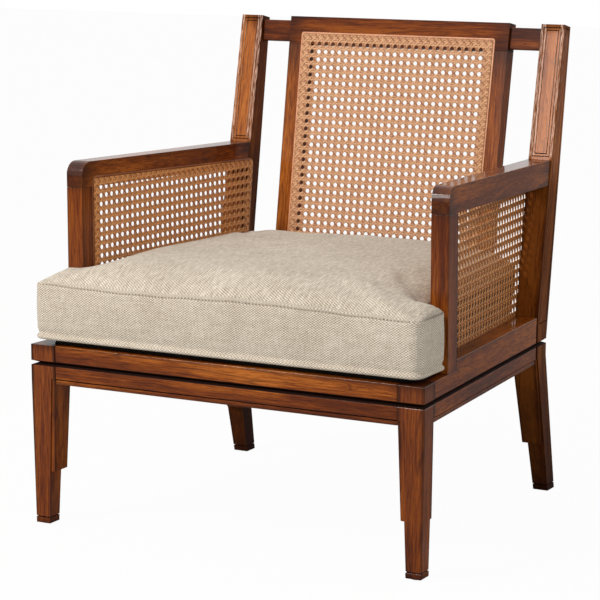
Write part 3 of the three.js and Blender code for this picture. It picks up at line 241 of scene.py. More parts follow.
def mahogany_finish(name, turn, shift, tone, ends, edges, bends=(), dim=None, shine=gloss(), rim=None):
    """Stained mahogany under lacquer. turn brings the grain upright, shift moves it, tone makes it paler.
    Each end or edge darkens near two planes: its axis, the planes' places on it, how far it reaches, and
    how strong it is. The darkening is a dark glaze, and painted shade where it is given for parts in shade.
    An edge leaves the faces that look along its axis alone. A bend leads the grain rearward beyond a level,
    and dim
    is a direction whose faces get painted shade, with a strength. A rim is a painted highlight of pale
    streaks:
    its axis, two planes on it, its breadth, the direction it faces, and the height it starts at."""
    coat, coat_roughness, pores, dulled = shine
    finish = Finish(name)
    place = finish.place()
    facing = finish.facing()
    course = place
    for level, direction, slope in bends:
        beyond = ((finish.axis(place, 2) - level) * direction).most(0.0)
        lean = finish.combined(0.0, beyond * slope, 0.0)
        course = finish.add("ShaderNodeVectorMath", {"operation": "SUBTRACT"}, {0: course, 1: lean})
    upright = finish.moved(course, shift, turn)
    broad = finish.grain(upright, (20, 20, 1.8), 2.0, 0.5, 0.6)
    streak = finish.grain(upright, (170, 170, 8.0), 3.0, 0.6, 0.3)
    fibre = finish.grain(upright, (520, 520, 26.0), 3.0, 0.6, 0.2)
    pore = finish.grain(upright, (1100, 1100, 75.0), 2.0)
    ring = finish.grain(upright, (34, 34, 2.6), 1.0, 0.4, 0.8, (0.4, 0.3, 0.2))
    figure = broad * 0.55 + streak * 0.15 + fibre * 0.3
    color = finish.ramp(
        figure.step(0.36, 0.64) * 0.8 + (0.1 + tone),
        [
            (0.0, srgb(56, 20, 4)),
            (0.25, srgb(84, 34, 6)),
            (0.5, srgb(112, 51, 9)),
            (0.75, srgb(142, 73, 17)),
            (1.0, srgb(180, 102, 34)),
        ],
    )
    line = 1 - (abs((ring * 7.0).fraction() - 0.5) * 2.0).step(0.0, 0.16)
    color = finish.mix(line * broad.step(0.46, 0.56) * 0.55, color, srgb(60, 20, 5))
    color = finish.mix(fibre.step(0.4, 0.3) * 0.45, color, srgb(52, 18, 5))
    color = finish.mix(pore.step(0.42, 0.34) * 0.45, color, srgb(48, 16, 5))
    cloud = finish.noise(upright, 14.0, 3.0, 0.6)
    clear = 1.0
    # Painted shade on the faces that look along the given direction.
    if dim:
        direction, strength = dim
        clear = 1 - finish.along(facing, direction).most(0.0) * strength
    for axis, low, high, reach, strength in ends:
        level = finish.along(place, axis)
        inside = (level - low).least(high - level) + (cloud - 0.5) * (reach * 1.1)
        clear = (1 - inside.step(reach, 0.0) * strength) * clear
    for axis, low, high, reach, strength in edges:
        level = finish.along(place, axis)
        across = 1 - abs(finish.along(facing, axis))
        inside = (level - low).least(high - level) + (cloud - 0.5) * (reach * 0.8)
        clear = (1 - inside.step(reach, 0.0) * across * strength) * clear
    # Dark glaze near ends and edges, and painted shade where ends or a dim side are given for parts in
    # shade.
    color = finish.mix(clear, srgb(40, 14, 6), color)
    # A painted highlight: pale streaks near the post's sides that stand in for glints on the lacquer.
    if rim:
        axis, low, high, breadth, direction, start = rim
        level = finish.along(place, axis)
        near = (level - low).least(high - level).step(breadth + 0.3 * MM, breadth - 0.3 * MM)
        turned = finish.along(facing, direction).step(0.9, 0.95)
        lifted = finish.axis(place, 2).step(start, start + 10 * MM)
        glint_streaks = finish.grain(upright, (900, 900, 60), 2.0).step(0.42, 0.6)
        color = finish.mix(near * turned * lifted * glint_streaks * 0.6, color, srgb(236, 196, 174))
    smear = finish.noise(upright, 60.0, 3.0, 0.6)
    height = pore * 0.5 + fibre * 0.5
    upward = finish.axis(facing, 2).most(0.0)
    kept = 1 - (1 - clear.step(0.45, 0.95)) * dulled
    weight = (upward * 0.2 + coat) * kept
    lacquer = {"Coat Weight": weight, "Coat Roughness": coat_roughness, "Coat IOR": 1.5}
    return finish.surface(color, 0.42 + smear * 0.14, 0.05, (height, pores, 0.5), lacquer)


def dark_groove_finish():
    """Near-black in the grooves: a stain left in them, and painted shade of the recess."""
    finish = Finish("groove_stain_and_shade")
    patch = finish.noise(finish.place(), 120.0, 3.0)
    color = finish.mix(patch, srgb(18, 8, 5), srgb(36, 15, 8))
    return finish.surface(color, 0.6 + patch * 0.2, 0.08)


def bead_glint_finish():
    """The walls of the posts' beads, with a painted highlight: pale streaks that stand in for glints on the
    lacquer.
    """
    finish = Finish("bead_painted_glint")
    along = finish.grain(finish.place(), (300, 300, 40), 3.0, 0.6)
    color = finish.mix(along.step(0.34, 0.56), srgb(170, 96, 56), srgb(255, 222, 196))
    return finish.surface(color, 0.4 + along * 0.2, 0.2)


def cane_finish(name, light, dark):
    """Split cane with its shiny skin, lighter and darker from strand to strand."""
    finish = Finish(name)
    strand = finish.add("ShaderNodeAttribute", {"attribute_name": "strand"}, None, "Fac")
    patch = finish.noise(finish.place(), 55.0, 3.0, 0.6)
    fleck = finish.noise(finish.place(), 900.0, 2.0, 0.6)
    tone = (strand * 0.55 + patch * 0.3 + fleck * 0.35).step(0.3, 0.9)
    color = finish.mix(tone, dark, light)
    stain = finish.noise(finish.place(), 230.0, 3.0).step(0.6, 0.72)
    color = finish.mix(stain * 0.55, color, srgb(96, 44, 18))
    return finish.surface(color, 0.42 + fleck * 0.2, 0.4, (fleck, 0.15 * MM, 0.6))


def reed_finish(name, light, dark):
    finish = Finish(name)
    grain = finish.noise(finish.place(), 340.0, 4.0, 0.6)
    patch = finish.noise(finish.place(), 30.0, 2.0)
    color = finish.mix((grain * 0.6 + patch * 0.4).step(0.3, 0.7), dark, light)
    skin = {"Coat Weight": 0.3, "Coat Roughness": 0.2}
    return finish.surface(color, 0.35 + grain * 0.2, more=skin)


YARN_WIDTH = 3.0 * MM
YARN_HEIGHT = 1.85 * MM
TWILL = 4.2 * MM  # between the slanting lines of the weave


def linen_finish():
    """Weave of slubby yarn with a slant, laid by the facing of the surface so that it needs no map."""
    finish = Finish("linen")
    place = finish.place()
    facing = finish.facing()
    east = abs(finish.axis(facing, 0))
    north = abs(finish.axis(facing, 1))
    crown = abs(finish.axis(facing, 2))
    is_top = (crown - east.most(north)).step(-0.12, 0.12)
    is_side = (east - north).step(-0.12, 0.12)
    sockets = {"Vector": place, "Scale": 24.0, "Detail": 2.0}
    wander = finish.add("ShaderNodeTexNoise", None, sockets, "Color")
    drift = finish.add("ShaderNodeVectorMath", {"operation": "SCALE"}, {0: wander, "Scale": 0.0035}, 0)
    cloth = finish.add("ShaderNodeVectorMath", {"operation": "ADD"}, {0: place, 1: drift}, 0)
    x, y, z = (finish.axis(cloth, number) for number in range(3))
    warp = x + (y - x) * is_side * (1 - is_top)
    weft = z + (y - z) * is_top
    laid = finish.combined(warp, weft, 0.0)
    over = (warp * (math.pi / YARN_WIDTH)).sin() * (weft * (math.pi / YARN_HEIGHT)).sin()
    knot = finish.grain(laid, (560, 560, 1), 1.0)
    warp_slub = finish.grain(laid, (520, 80, 1), 1.0, shift=(0.2, 0.1, 0.3))
    weft_slub = finish.grain(laid, (40, 520, 1), 1.0, shift=(0.5, 0.3, 0.6))
    patch = finish.noise(place, 11.0, 3.0, 0.6)
    slubs = (warp_slub - 0.5) * (0.26 + is_top * 0.34) + (weft_slub - 0.5) * (0.22 - is_top * 0.1)
    twill = ((warp - weft) * (2 * math.pi / TWILL)).sin()
    tone = over * (knot * 0.6 + 0.02) + twill * 0.05 + slubs + (patch - 0.5) * 0.2 + 0.52
    color = finish.ramp(
        tone,
        [
            (0.0, srgb(84, 70, 50)),
            (0.35, srgb(162, 149, 131)),
            (0.6, srgb(203, 192, 175)),
            (1.0, srgb(251, 243, 232)),
        ],
    )
    # Painted shade along the crease of the seam.
    seam = finish.add("ShaderNodeAttribute", {"attribute_name": "seam"}, None, "Fac")
    color = finish.mix(seam.step(0.1, 0.9) * 0.5, color, srgb(92, 76, 56))
    # Painted shade on the cushion's sides beside the arms, behind the ears.
    beside_arm = is_side * (1 - is_top) * finish.axis(place, 1).step(EAR_BACK, EAR_BACK + 20 * MM)
    color = finish.mix(beside_arm * 0.6, color, srgb(84, 62, 40))
    height = over * 0.6 + knot * 0.4 + warp_slub * 0.3 + weft_slub * 0.3
    sheen = {"Sheen Weight": 0.2, "Sheen Roughness": 0.5}
    return finish.surface(color, 0.95, 0.2, (height, 0.3 * MM, 0.5), sheen)


# Near-black cloth on the deck: its colour, and painted shade under the cushion's overhang.
def deck_dark_finish():
    finish = Finish("deck_cloth")
    weave = finish.noise(finish.place(), 900.0, 3.0, 0.7)
    color = finish.mix(weave, srgb(10, 9, 8), srgb(30, 27, 24))
    return finish.surface(color, 0.92, 0.2, (weave, 0.4 * MM, 0.6))


def beech_finish():
    finish = Finish("raw_beech")
    grain = finish.grain(finish.place(), (12, 200, 200), 4.0, 0.6)
    fleck = finish.grain(finish.place(), (120, 900, 900), 2.0, 0.6)
    color = finish.mix(grain, srgb(172, 128, 84), srgb(212, 172, 124))
    color = finish.mix(fleck.step(0.58, 0.7) * 0.6, color, srgb(140, 94, 56))
    return finish.surface(color, 0.6 + fleck * 0.2, relief=(fleck, 0.2 * MM, 0.5))


def steel_finish():
    finish = Finish("zinc_steel")
    brush = finish.grain(finish.place(), (300, 300, 2500), 3.0, 0.6)
    color = finish.mix(brush, srgb(150, 146, 136), srgb(196, 192, 180))
    return finish.surface(color, 0.28 + brush * 0.22, more={"Metallic": 1.0})


def nylon_finish():
    finish = Finish("glide_nylon")
    speck = finish.noise(finish.place(), 700.0, 3.0, 0.6)
    color = finish.mix(speck, srgb(40, 30, 24), srgb(70, 54, 44))
    return finish.surface(color, 0.5 + speck * 0.25, relief=(speck, 0.1 * MM, 0.4))


# Wood

SAME_POINT = 0.002 * MM
SAME_PLANE = math.radians(0.6)
LEAST_TURN = math.radians(30)  # edges that turn less aren't eased
STAIN_SLACK = 0.4 * MM  # by which a stained face may pass its groove's levels
FIELD_SLACK = 0.2 * MM
UPRIGHT = (0.0, 0.0, 0.0)
ACROSS = (0.0, -math.pi / 2, 0.0)
REARWARD = (math.pi / 2, 0.0, 0.0)
X_AXIS = (1.0, 0.0, 0.0)
Y_AXIS = (0.0, 1.0, 0.0)
Z_AXIS = (0.0, 0.0, 1.0)
FAR_UP = 2.0  # above everything


def mesh_from(bm, name):
    mesh = bpy.data.meshes.new(name)
    bm.to_mesh(mesh)
    bm.free()
    return mesh


def placed(name, data):
    item = bpy.data.objects.new(name, data)
    bpy.context.scene.collection.objects.link(item)
    return item


def of_kind(items, kind):
    return [item for item in items if isinstance(item, kind)]


def keep_piece(name, mesh, body, nodes, materials):
    piece = placed(name, mesh)
    for material in materials:
        mesh.materials.append(material)
    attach(piece, body)
    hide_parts(*nodes)
    return piece


def merged_copy(node):
    """The node's solid with its loose triangles joined and its flat faces whole."""
    bm = bmesh.new()
    bm.from_mesh(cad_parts[node].data)
    bmesh.ops.remove_doubles(bm, verts=bm.verts[:], dist=SAME_POINT)
    bmesh.ops.dissolve_limit(
        bm,
        angle_limit=SAME_PLANE,
        use_dissolve_boundaries=False,
        verts=bm.verts[:],
        edges=bm.edges[:],
        delimit=set(),
    )
    return bm


def face_breadth(face):
    longest = max(edge.calc_length() for edge in face.edges)
    return face.calc_area() / longest


def ease_edges(bm, ease, shortest, narrowest):
    """Rounds the long outer corners and leaves the walls of the fine grooves sharp."""
    chosen = []
    for edge in bm.edges:
        if len(edge.link_faces) != 2 or not edge.is_convex:
            continue
        if edge.calc_length() < shortest or edge.calc_face_angle() < LEAST_TURN:
            continue
        if min(face_breadth(face) for face in edge.link_faces) < narrowest:
            continue
        chosen.append(edge)
    if chosen:
        bmesh.ops.bevel(
            bm,
            geom=chosen,
            offset=ease,
            offset_type="OFFSET",
            affect="EDGES",
            segments=3,
            profile=0.5,
            material=-1,
            clamp_overlap=True,
            loop_slide=True,
        )


def soften(piece, angle=34.0):
    """Smooth rounds beside flat faces."""
    mesh = piece.data
    bm = bmesh.new()
    bm.from_mesh(mesh)
    for face in bm.faces:
        face.smooth = True
    for edge in bm.edges:
        two = len(edge.link_faces) == 2
        edge.smooth = two and edge.calc_face_angle() < math.radians(angle)
    bm.to_mesh(mesh)
    bm.free()
    weighted = piece.modifiers.new("weighted normals", "WEIGHTED_NORMAL")
    weighted.mode = "FACE_AREA"
    weighted.weight = 100
    weighted.keep_sharp = True


def stain_and_shade_level(bm, low, high):
    """Gives the faces that lie whole between two heights the grooves' stain and painted shade."""
    for face in bm.faces:
        if all(low - STAIN_SLACK <= vert.co.z <= high + STAIN_SLACK for vert in face.verts):
            face.material_index = 1


def stain_and_shade_under(bm, point, normal, above, wall):
    """Gives the fine grooves cut in a flat face the grooves' stain and painted shade, with a finish of its
    own on their upright walls.
    """
    for face in bm.faces:
        depths = [(point - vert.co).dot(normal) for vert in face.verts]
        if min(depths) < -FIELD_SLACK or max(depths) > FIELD_DEPTH + FIELD_SLACK:
            continue
        if max(depths) < 0.6 * FIELD_DEPTH or min(vert.co.z for vert in face.verts) < above:
            continue
        is_wall = abs(face.normal.dot(normal)) < 0.5 and abs(face.normal.z) < 0.5
        face.material_index = wall if is_wall else 1


def whole_shade(node, axis, *rest):
    """A shade with its two planes. Given a reach and a strength alone, it lies at the piece's own ends."""
    if len(rest) == 4:
        return (axis, *rest)
    number = axis.index(1.0)
    return (axis, *[corner[number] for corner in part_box(node)], *rest)


def raked_shade(rake, point, thickness, reach, strength):
    """Shade near the front and back faces of a raked piece."""
    axis = (0.0, math.cos(rake), -math.sin(rake))
    front = Vector(point).dot(Vector(axis))
    return (axis, front, front + thickness, reach, strength)


def wooden_piece(node, turn, shift, tone, ends, edges, ease=1.5 * MM, fields=(), **more):
    """A piece of the frame with eased edges, and grooves darkened by stain and painted shade. A field is a
    face with fine grooves: a point on it, its normal, the height it starts at, and the number of the finish
    on its grooves' walls."""
    bm = merged_copy(node)
    ease_edges(bm, ease, shortest=12 * MM, narrowest=3 * MM)
    for low, high in (LIP_GROOVE, FOOT_GROOVE):
        stain_and_shade_level(bm, low, high)
    stain_and_shade_level(bm, GROOVE_LEVEL - GROOVE_MOUTH / 2, GROOVE_LEVEL + GROOVE_MOUTH / 2)
    for point, normal, above, wall in fields:
        stain_and_shade_under(bm, point, normal, above, wall)
    mesh = mesh_from(bm, node + "_eased")
    ends = [whole_shade(node, *shade) for shade in ends]
    edges = [whole_shade(node, *shade) for shade in edges]
    finish = mahogany_finish(node + "_mahogany", turn, shift, tone, ends, edges, **more)
    finishes = [finish, groove_stain_and_shade, bead_painted_glint] if fields else [finish, groove_stain_and_shade]
    soften(keep_piece(node + "_eased", mesh, "frame", [node], finishes))


groove_stain_and_shade = dark_groove_finish()
bead_painted_glint = bead_glint_finish()


def make_side_wood(side, sign, step):
    wooden_piece(
        "front_leg_" + side,
        UPRIGHT,
        (0.3 + step, 0.1, 0.2),
        -0.14 - 0.07 * sign,
        [(Z_AXIS, 16 * MM, 0.6)],
        [(X_AXIS, 9 * MM, 0.95), (Y_AXIS, 9 * MM, 0.95)],
        shine=gloss(0.38, dulled=0.3),
    )
    post = "back_post_" + side
    out = Vector((0, -math.cos(POST_RAKE), math.sin(POST_RAKE)))
    seat_face = (0, POST_SEAT_FACE, RAIL_TOP)
    panel_foot = (0, PANEL_FOOT, RAIL_TOP)
    # the front field's groove walls take the beads' painted highlight
    face = (Vector(seat_face), out, ARM_HEIGHT - 20 * MM, 2)
    flank = (Vector((sign * POST_HALF, 0, 0)), Vector((sign, 0, 0)), RAIL_TOP, 1)
    low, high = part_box(post)
    wooden_piece(
        post,
        UPRIGHT,
        (0.9 + step, 0.4, 0.7),
        0.42,
        [
            (Z_AXIS, 30 * MM, 0.6),
            # painted shade: darker towards the floor, for the shadow under the seat
            (Z_AXIS, -60 * MM, FAR_UP, 340 * MM, 0.9),
            # painted shade: darker below the arm, where the arm shades the post's face
            (Z_AXIS, ARM_HEIGHT - 60 * MM, FAR_UP, 60 * MM, 0.55),
        ],
        [(X_AXIS, 12 * MM, 0.65), raked_shade(POST_RAKE, seat_face, 40 * MM, 8 * MM, 0.5)],
        fields=[face, flank],
        bends=[(RAIL_TOP, 1.0, math.tan(POST_RAKE)), (RAIL_FOOT, -1.0, 0.27)],
        # painted shade on the post's inner side
        dim=((-sign, 0.0, 0.0), 0.45),
        shine=gloss(0.42, pores=0.3 * MM, dulled=1.0),
        # painted highlight along the field's margins and beads
        rim=(X_AXIS, low.x, high.x, BEAD_REACH, tuple(out), ARM_HEIGHT - 10 * MM),
    )
    wooden_piece(
        "side_rail_" + side,
        REARWARD,
        (1.3 + step, 0.8, 0.1),
        -0.05,
        [(Y_AXIS, 30 * MM, 0.5)],
        [(Z_AXIS, 7 * MM, 0.6)],
        shine=gloss(0.4),
    )
    wooden_piece(
        "arm_post_" + side,
        UPRIGHT,
        (2.2 + step, 0.5, 0.4),
        # painted light: the arm post on the sitter's left is paler and the right one darker, for how their
        # seen faces are lit
        0.1 * sign - 0.02,
        [(Z_AXIS, 30 * MM, 0.6)],
        [(X_AXIS, 6 * MM, 0.55), (Y_AXIS, 6 * MM, 0.55)],
        ease=2.0 * MM,
        shine=gloss(0.42, pores=0.1 * MM),
    )
    wooden_piece(
        "arm_top_rail_" + side,
        REARWARD,
        (3.1 + step, 0.2, 0.9),
        -0.04,
        [(Y_AXIS, 46 * MM, 0.7)],
        [(Z_AXIS, 9 * MM, 0.45)],
        ease=3.0 * MM,
        shine=gloss(0.48, roughness=0.07, pores=0.05 * MM),
    )
    wooden_piece(
        "back_stile_" + side,
        (PANEL_RAKE, 0.0, 0.0),
        (4.4 + step, 0.6, 0.3),
        0.2,
        [(Z_AXIS, 75 * MM, 0.65)],
        [(X_AXIS, 5 * MM, 0.5), raked_shade(PANEL_RAKE, panel_foot, 26 * MM, 5 * MM, 0.5)],
    )
    wooden_piece(
        "back_connector_" + side,
        ACROSS,
        (5.2 + step, 0.3, 0.6),
        -0.2,
        [(X_AXIS, 30 * MM, 0.6)],
        [(Z_AXIS, 8 * MM, 0.5)],
        shine=gloss(0.08, roughness=0.2),
    )


def make_wood():
    for count, side in enumerate(("left", "right")):
        make_side_wood(side, 1 - 2 * count, 1.7 * count)
    for count, (rail, tone, lacquer) in enumerate(
        (
            ("front_seat_rail", 0.1, 0.3),
            ("back_seat_rail", 0.0, 0.3),
            ("back_top_rail", -0.16, 0.1),
            ("back_bottom_rail", 0.0, 0.2),
        )
    ):
        wooden_piece(
            rail,
            ACROSS,
            (6.1 + 1.9 * count, 0.7, 0.5),
            tone,
            [(X_AXIS, 45 * MM, 0.6)],
            [(Z_AXIS, 7 * MM, 0.6)],
            shine=gloss(lacquer),
        )


# Cane

PAIR_SHARE = 0.13  # of the pitch, from a lattice line to each strand of its pair
STRAND = 3.05 * MM
STRAND_DEPTH = 0.55 * MM
SLANTED_SHARE = 0.9  # of the breadth, in the slanted strands
ARM_PITCHES = (13.8 * MM, 14.2 * MM)
ARM_HOLE = (33.0 * MM, 537.3 * MM)
BACK_PITCHES = (13.47 * MM, 13.6 * MM)
BACK_HOLE = (-0.4 * MM, 251.9 * MM)
CLOSE_WEAVE = 12 * MM  # breadth of the close weave along the reeds
CLOSE_DROP = 0.5 * MM  # of the close weave under the open one
CANE_LIFT = 1.4 * MM  # off the wood
REED_GAP = 0.3 * MM
SHEET_CORNER = 1.5 * MM
ARM_CANE_FRONT = 25 * MM  # behind the front of the arm
ARM_CANE_FOOT = 1.5 * MM  # over the rails
ARM_CANE_FRONT_TOP = 24.4 * MM  # under the top of the arm
ARM_CANE_BACK_TOP = 28.9 * MM
ARM_CANE_BACK_FOOT = 39.2 * MM  # behind the face of the back post
ARM_CANE_BACK_HEAD = 14.9 * MM


def draw_strand(bm, tone, stations, width):
    """One ribbon through stations of place and height, with a slightly crowned top."""
    first = Vector(stations[0])
    course = (Vector(stations[-1]) - first).to_2d().normalized()
    across = Vector((-course.y, course.x, 0))
    section = ((-0.5, -0.5), (0.5, -0.5), (0.44, 0.28), (0.0, 0.5), (-0.44, 0.28))
    ring = [bm.verts.new(first + across * width * u + Vector((0, 0, STRAND_DEPTH * v))) for u, v in section]
    edges = [bm.edges.new((ring[k], ring[(k + 1) % len(ring)])) for k in range(len(ring))]
    for before, after in zip(stations, stations[1:]):
        grown = bmesh.ops.extrude_edge_only(bm, edges=edges)["geom"]
        verts = of_kind(grown, BMVert)
        for face in of_kind(grown, BMFace):
            face[bm.faces.layers.float["strand"]] = tone
        edges = of_kind(grown, BMEdge)
        edges = [edge for edge in edges if all(vert in verts for vert in edge.verts)]
        bmesh.ops.translate(bm, verts=verts, vec=Vector(after) - Vector(before))


def weave_tile(pitch):
    """One pitch of six-way webbing about a crossing of the pairs."""
    bm = bmesh.new()
    bm.faces.layers.float.new("strand")
    half = pitch / 2
    off = PAIR_SHARE * pitch
    level = 0.12 * MM
    swing = 0.28 * MM
    rise = 0.9 * MM
    draw_strand(bm, 0.35, [(-off, -half, -level), (-off, half, -level)], STRAND)
    draw_strand(bm, 0.6, [(off, -half, level), (off, half, level)], STRAND)
    for tone, y in ((0.75, -off), (0.5, off)):
        draw_strand(bm, tone, [(-half, y, 0), (-off, y, swing), (off, y, -swing), (half, y, 0)], STRAND)
    shares = (0.0, 0.32, 0.68, 1.0)
    for tone, start, end, over in (
        (0.9, (0, -half), (half, 0), -1),
        (0.9, (-half, 0), (0, half), 1),
        (0.2, (-half, 0), (0, -half), -1),
        (0.2, (0, half), (half, 0), 1),
    ):
        run = [
            (
                start[0] + (end[0] - start[0]) * share,
                start[1] + (end[1] - start[1]) * share,
                over * rise * math.cos(math.pi * share),
            )
            for share in shares
        ]
        draw_strand(bm, tone, run, STRAND * SLANTED_SHARE)
    return bm


def woven_sheet(outline, hole, pitches):
    """Webbing with given pitches across and up, cut to an outline, with one hole at a given place."""
    bm = weave_tile(pitches[0])
    bmesh.ops.scale(bm, vec=(1, pitches[1] / pitches[0], 1), verts=bm.verts[:])
    low = [min(point[k] for point in outline) for k in (0, 1)]
    high = [max(point[k] for point in outline) for k in (0, 1)]
    cell = [hole[k] + pitches[k] / 2 for k in (0, 1)]
    first = [math.floor((low[k] - cell[k]) / pitches[k]) for k in (0, 1)]
    counts = [math.ceil((high[k] - low[k]) / pitches[k]) + 2 for k in (0, 1)]
    start = Vector((cell[0] + first[0] * pitches[0], cell[1] + first[1] * pitches[1], 0))
    bmesh.ops.translate(bm, verts=bm.verts[:], vec=start)
    for number, direction in enumerate((Vector((1, 0, 0)), Vector((0, 1, 0)))):
        row = bm.verts[:] + bm.edges[:] + bm.faces[:]
        for k in range(1, counts[number]):
            copy = bmesh.ops.duplicate(bm, geom=row)["geom"]
            bmesh.ops.translate(bm, verts=of_kind(copy, BMVert), vec=direction * (pitches[number] * k))
    cut_to(bm, outline)
    bmesh.ops.remove_doubles(bm, verts=bm.verts[:], dist=0.01 * MM)
    return bm


def cut_to(bm, outline):
    """Cuts away what lies outside the sides of a counter-clockwise outline."""
    for k, start in enumerate(outline):
        side = outline[(k + 1) % len(outline)] - start
        bmesh.ops.bisect_plane(
            bm,
            geom=bm.verts[:] + bm.edges[:] + bm.faces[:],
            dist=0.0001 * MM,
            plane_co=(start.x, start.y, 0),
            plane_no=(side.y, -side.x, 0),
            clear_outer=True,
        )


def inset(outline, distance):
    """Moves every side of a counter-clockwise outline inwards."""
    moved = []
    for k, start in enumerate(outline):
        along = (outline[(k + 1) % len(outline)] - start).normalized()
        before = (start - outline[k - 1]).normalized()
        inward = Vector((-along.y, along.x))
        earlier = Vector((-before.y, before.x))
        moved.append(start + (inward + earlier) * distance / (1 + inward.dot(earlier)))
    return moved


def clipped(outline, length):
    """Cuts the corners of an outline."""
    cut = []
    for k, corner in enumerate(outline):
        before = (outline[k - 1] - corner).normalized()
        after = (outline[(k + 1) % len(outline)] - corner).normalized()
        cut += [corner + before * length, corner + after * length]
    return cut


def sheet_mesh(bm, name, matrix, mirror):
    bmesh.ops.transform(bm, matrix=matrix, verts=bm.verts[:])
    if mirror:
        bmesh.ops.scale(bm, vec=(-1, 1, 1), verts=bm.verts[:])
        bmesh.ops.reverse_faces(bm, faces=bm.faces[:])
    for face in bm.faces:
        face.smooth = True
    return mesh_from(bm, name)


def arm_frame():
    """Frame of the left arm's inner face: X along it to the back, Y up, Z out into the wood."""
    start = Vector((arm_inner(ARM_SETBACK), FRONT + ARM_SETBACK, 0))
    end = Vector((arm_inner(SEAT_RUN), POST_SEAT_FACE, 0))
    along = (end - start).normalized()
    up = Vector((0, 0, 1))
    turn = Matrix((along, up, along.cross(up))).transposed().to_4x4()
    return Matrix.Translation(start) @ turn


def panel_frame():
    """Frame of the back panel's front face: X across, Y up the rake from the seat rail, Z to the front."""
    turn = Matrix.Rotation(math.pi / 2 - PANEL_RAKE, 4, "X")
    return Matrix.Translation((0, PANEL_FOOT, RAIL_TOP)) @ turn


def arm_cane_outline():
    run = math.hypot(1, (arm_inner(ARM_SETBACK) - arm_inner(SEAT_RUN)) / (SEAT_RUN - ARM_SETBACK))
    lean = math.tan(POST_RAKE)

    def along(y):
        return (y - ARM_SETBACK) * run

    def behind_post(height, distance):
        return along(SEAT_RUN + lean * (height - RAIL_TOP) + distance)

    front = ARM_SETBACK + ARM_CANE_FRONT
    foot = RAIL_TOP + ARM_CANE_FOOT
    head = ARM_BACK_HEIGHT - ARM_CANE_BACK_TOP
    fall = ARM_FALL / (SEAT_RUN + lean * (ARM_BACK_HEIGHT - RAIL_TOP) - ARM_SETBACK)
    return [
        Vector((along(front), foot)),
        Vector((behind_post(foot, ARM_CANE_BACK_FOOT), foot)),
        Vector((behind_post(head, ARM_CANE_BACK_HEAD), head)),
        Vector((along(front), ARM_HEIGHT - fall * ARM_CANE_FRONT - ARM_CANE_FRONT_TOP)),
    ]


def panel_cane_outline():
    def half(v):
        return PANEL_FOOT_HALF + (PANEL_TOP_HALF - PANEL_FOOT_HALF) * v / PANEL_LENGTH - STILE

    low = PANEL_FOOT_RAIL
    high = PANEL_LENGTH - PANEL_TOP_RAIL + CANE_TOP_LEDGE - CANE_LEDGE
    opening = [
        Vector((-half(low), low)),
        Vector((half(low), low)),
        Vector((half(high), high)),
        Vector((-half(high), high)),
    ]
    return inset(opening, -CANE_LEDGE)


def edge_strips(outline, width):
    """The four mitred strips along the inside of an outline."""
    inner = inset(outline, width)
    count = len(outline)
    return [[outline[k], outline[(k + 1) % count], inner[(k + 1) % count], inner[k]] for k in range(count)]


def make_webbing(name, node, outline, hole, pitches, matrix, finish, mirror=False):
    """The sheet, and the close weave over the wood beside its spline, half a pitch off the open one."""
    edge = inset(outline, SPLINE + REED_GAP)
    bm = woven_sheet(clipped(edge, SHEET_CORNER), hole, pitches)
    mesh = sheet_mesh(bm, name, matrix, mirror)
    keep_piece(name, mesh, "frame", [node], [finish])
    between = (hole[0] + pitches[0] / 2, hole[1] + pitches[1] / 2)
    lower = matrix @ Matrix.Translation((0, 0, -CLOSE_DROP))
    for count, strip in enumerate(edge_strips(edge, CLOSE_WEAVE)):
        bm = woven_sheet(strip, between, pitches)
        strip_name = name + "_border_" + str(count + 1)
        mesh = sheet_mesh(bm, strip_name, lower, mirror)
        keep_piece(strip_name, mesh, "frame", [node], [finish])


def make_cane():
    arm_shade = cane_finish("arm_cane_skin", srgb(232, 164, 100), srgb(146, 84, 38))
    back_shade = cane_finish("back_cane_skin", srgb(222, 170, 126), srgb(150, 96, 62))
    for side in ("left", "right"):
        make_webbing(
            "arm_cane_weave_" + side,
            "arm_cane_" + side,
            arm_cane_outline(),
            ARM_HOLE,
            ARM_PITCHES,
            arm_frame() @ Matrix.Translation((0, 0, -CANE_LIFT)) @ Matrix.Diagonal((1, 1, -1, 1)),
            arm_shade,
            mirror=side == "right",
        )
    make_webbing(
        "back_cane_weave",
        "back_cane",
        panel_cane_outline(),
        BACK_HOLE,
        BACK_PITCHES,
        panel_frame() @ Matrix.Translation((0, 0, CANE_LIFT)),
        back_shade,
    )
    for node, light, dark in (
        ("arm_spline_left", srgb(168, 98, 50), srgb(112, 56, 24)),
        ("arm_spline_right", srgb(168, 98, 50), srgb(112, 56, 24)),
        ("back_spline", srgb(226, 160, 110), srgb(176, 104, 58)),
    ):
        bm = merged_copy(node)
        ease_edges(bm, 1 * MM, shortest=0.1 * MM, narrowest=0.0)
        mesh = mesh_from(bm, node + "_reed")
        finish = reed_finish(node + "_finish", light, dark)
        soften(keep_piece(node + "_reed", mesh, "frame", [node], [finish]), 60.0)


# Cushion

CUSHION_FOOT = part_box("seat_cushion")[0].z
CUSHION_SEAM = CUSHION_FOOT + 88.8 * MM
FOOT_SEAM = CUSHION_FOOT + 9 * MM
FOOT_ROLL = ((2.5, 1.6), (6.0, 1.8), (8.4, -1.5), (8.8, -7.0))  # millimetres under the foot seam, and out
WALL_BULGE = 1.5 * MM
FOOT_SEAM_PULL = 1.5 * MM
SEAM_WAVE = (2.2 * MM, 460 * MM, 60 * MM)  # the top seam's wave: its height, its length and where it crests
SEAM_RIPPLE = (0.5 * MM, 13 * MM)
SEAM_SAG = 0.8 * MM
RELAXED_CROWN = 37 * MM  # height of the top over its seam before the cover is filled
SIDE_REACH = 14 * MM  # the crown rises within about this from the sides, well behind the ears
FRONT_REACH = 26 * MM  # and within this from the front and round the ears
BACK_REACH = 12 * MM
REACH_CHANGE = 90 * MM  # run behind the ears over which the sides' reach changes
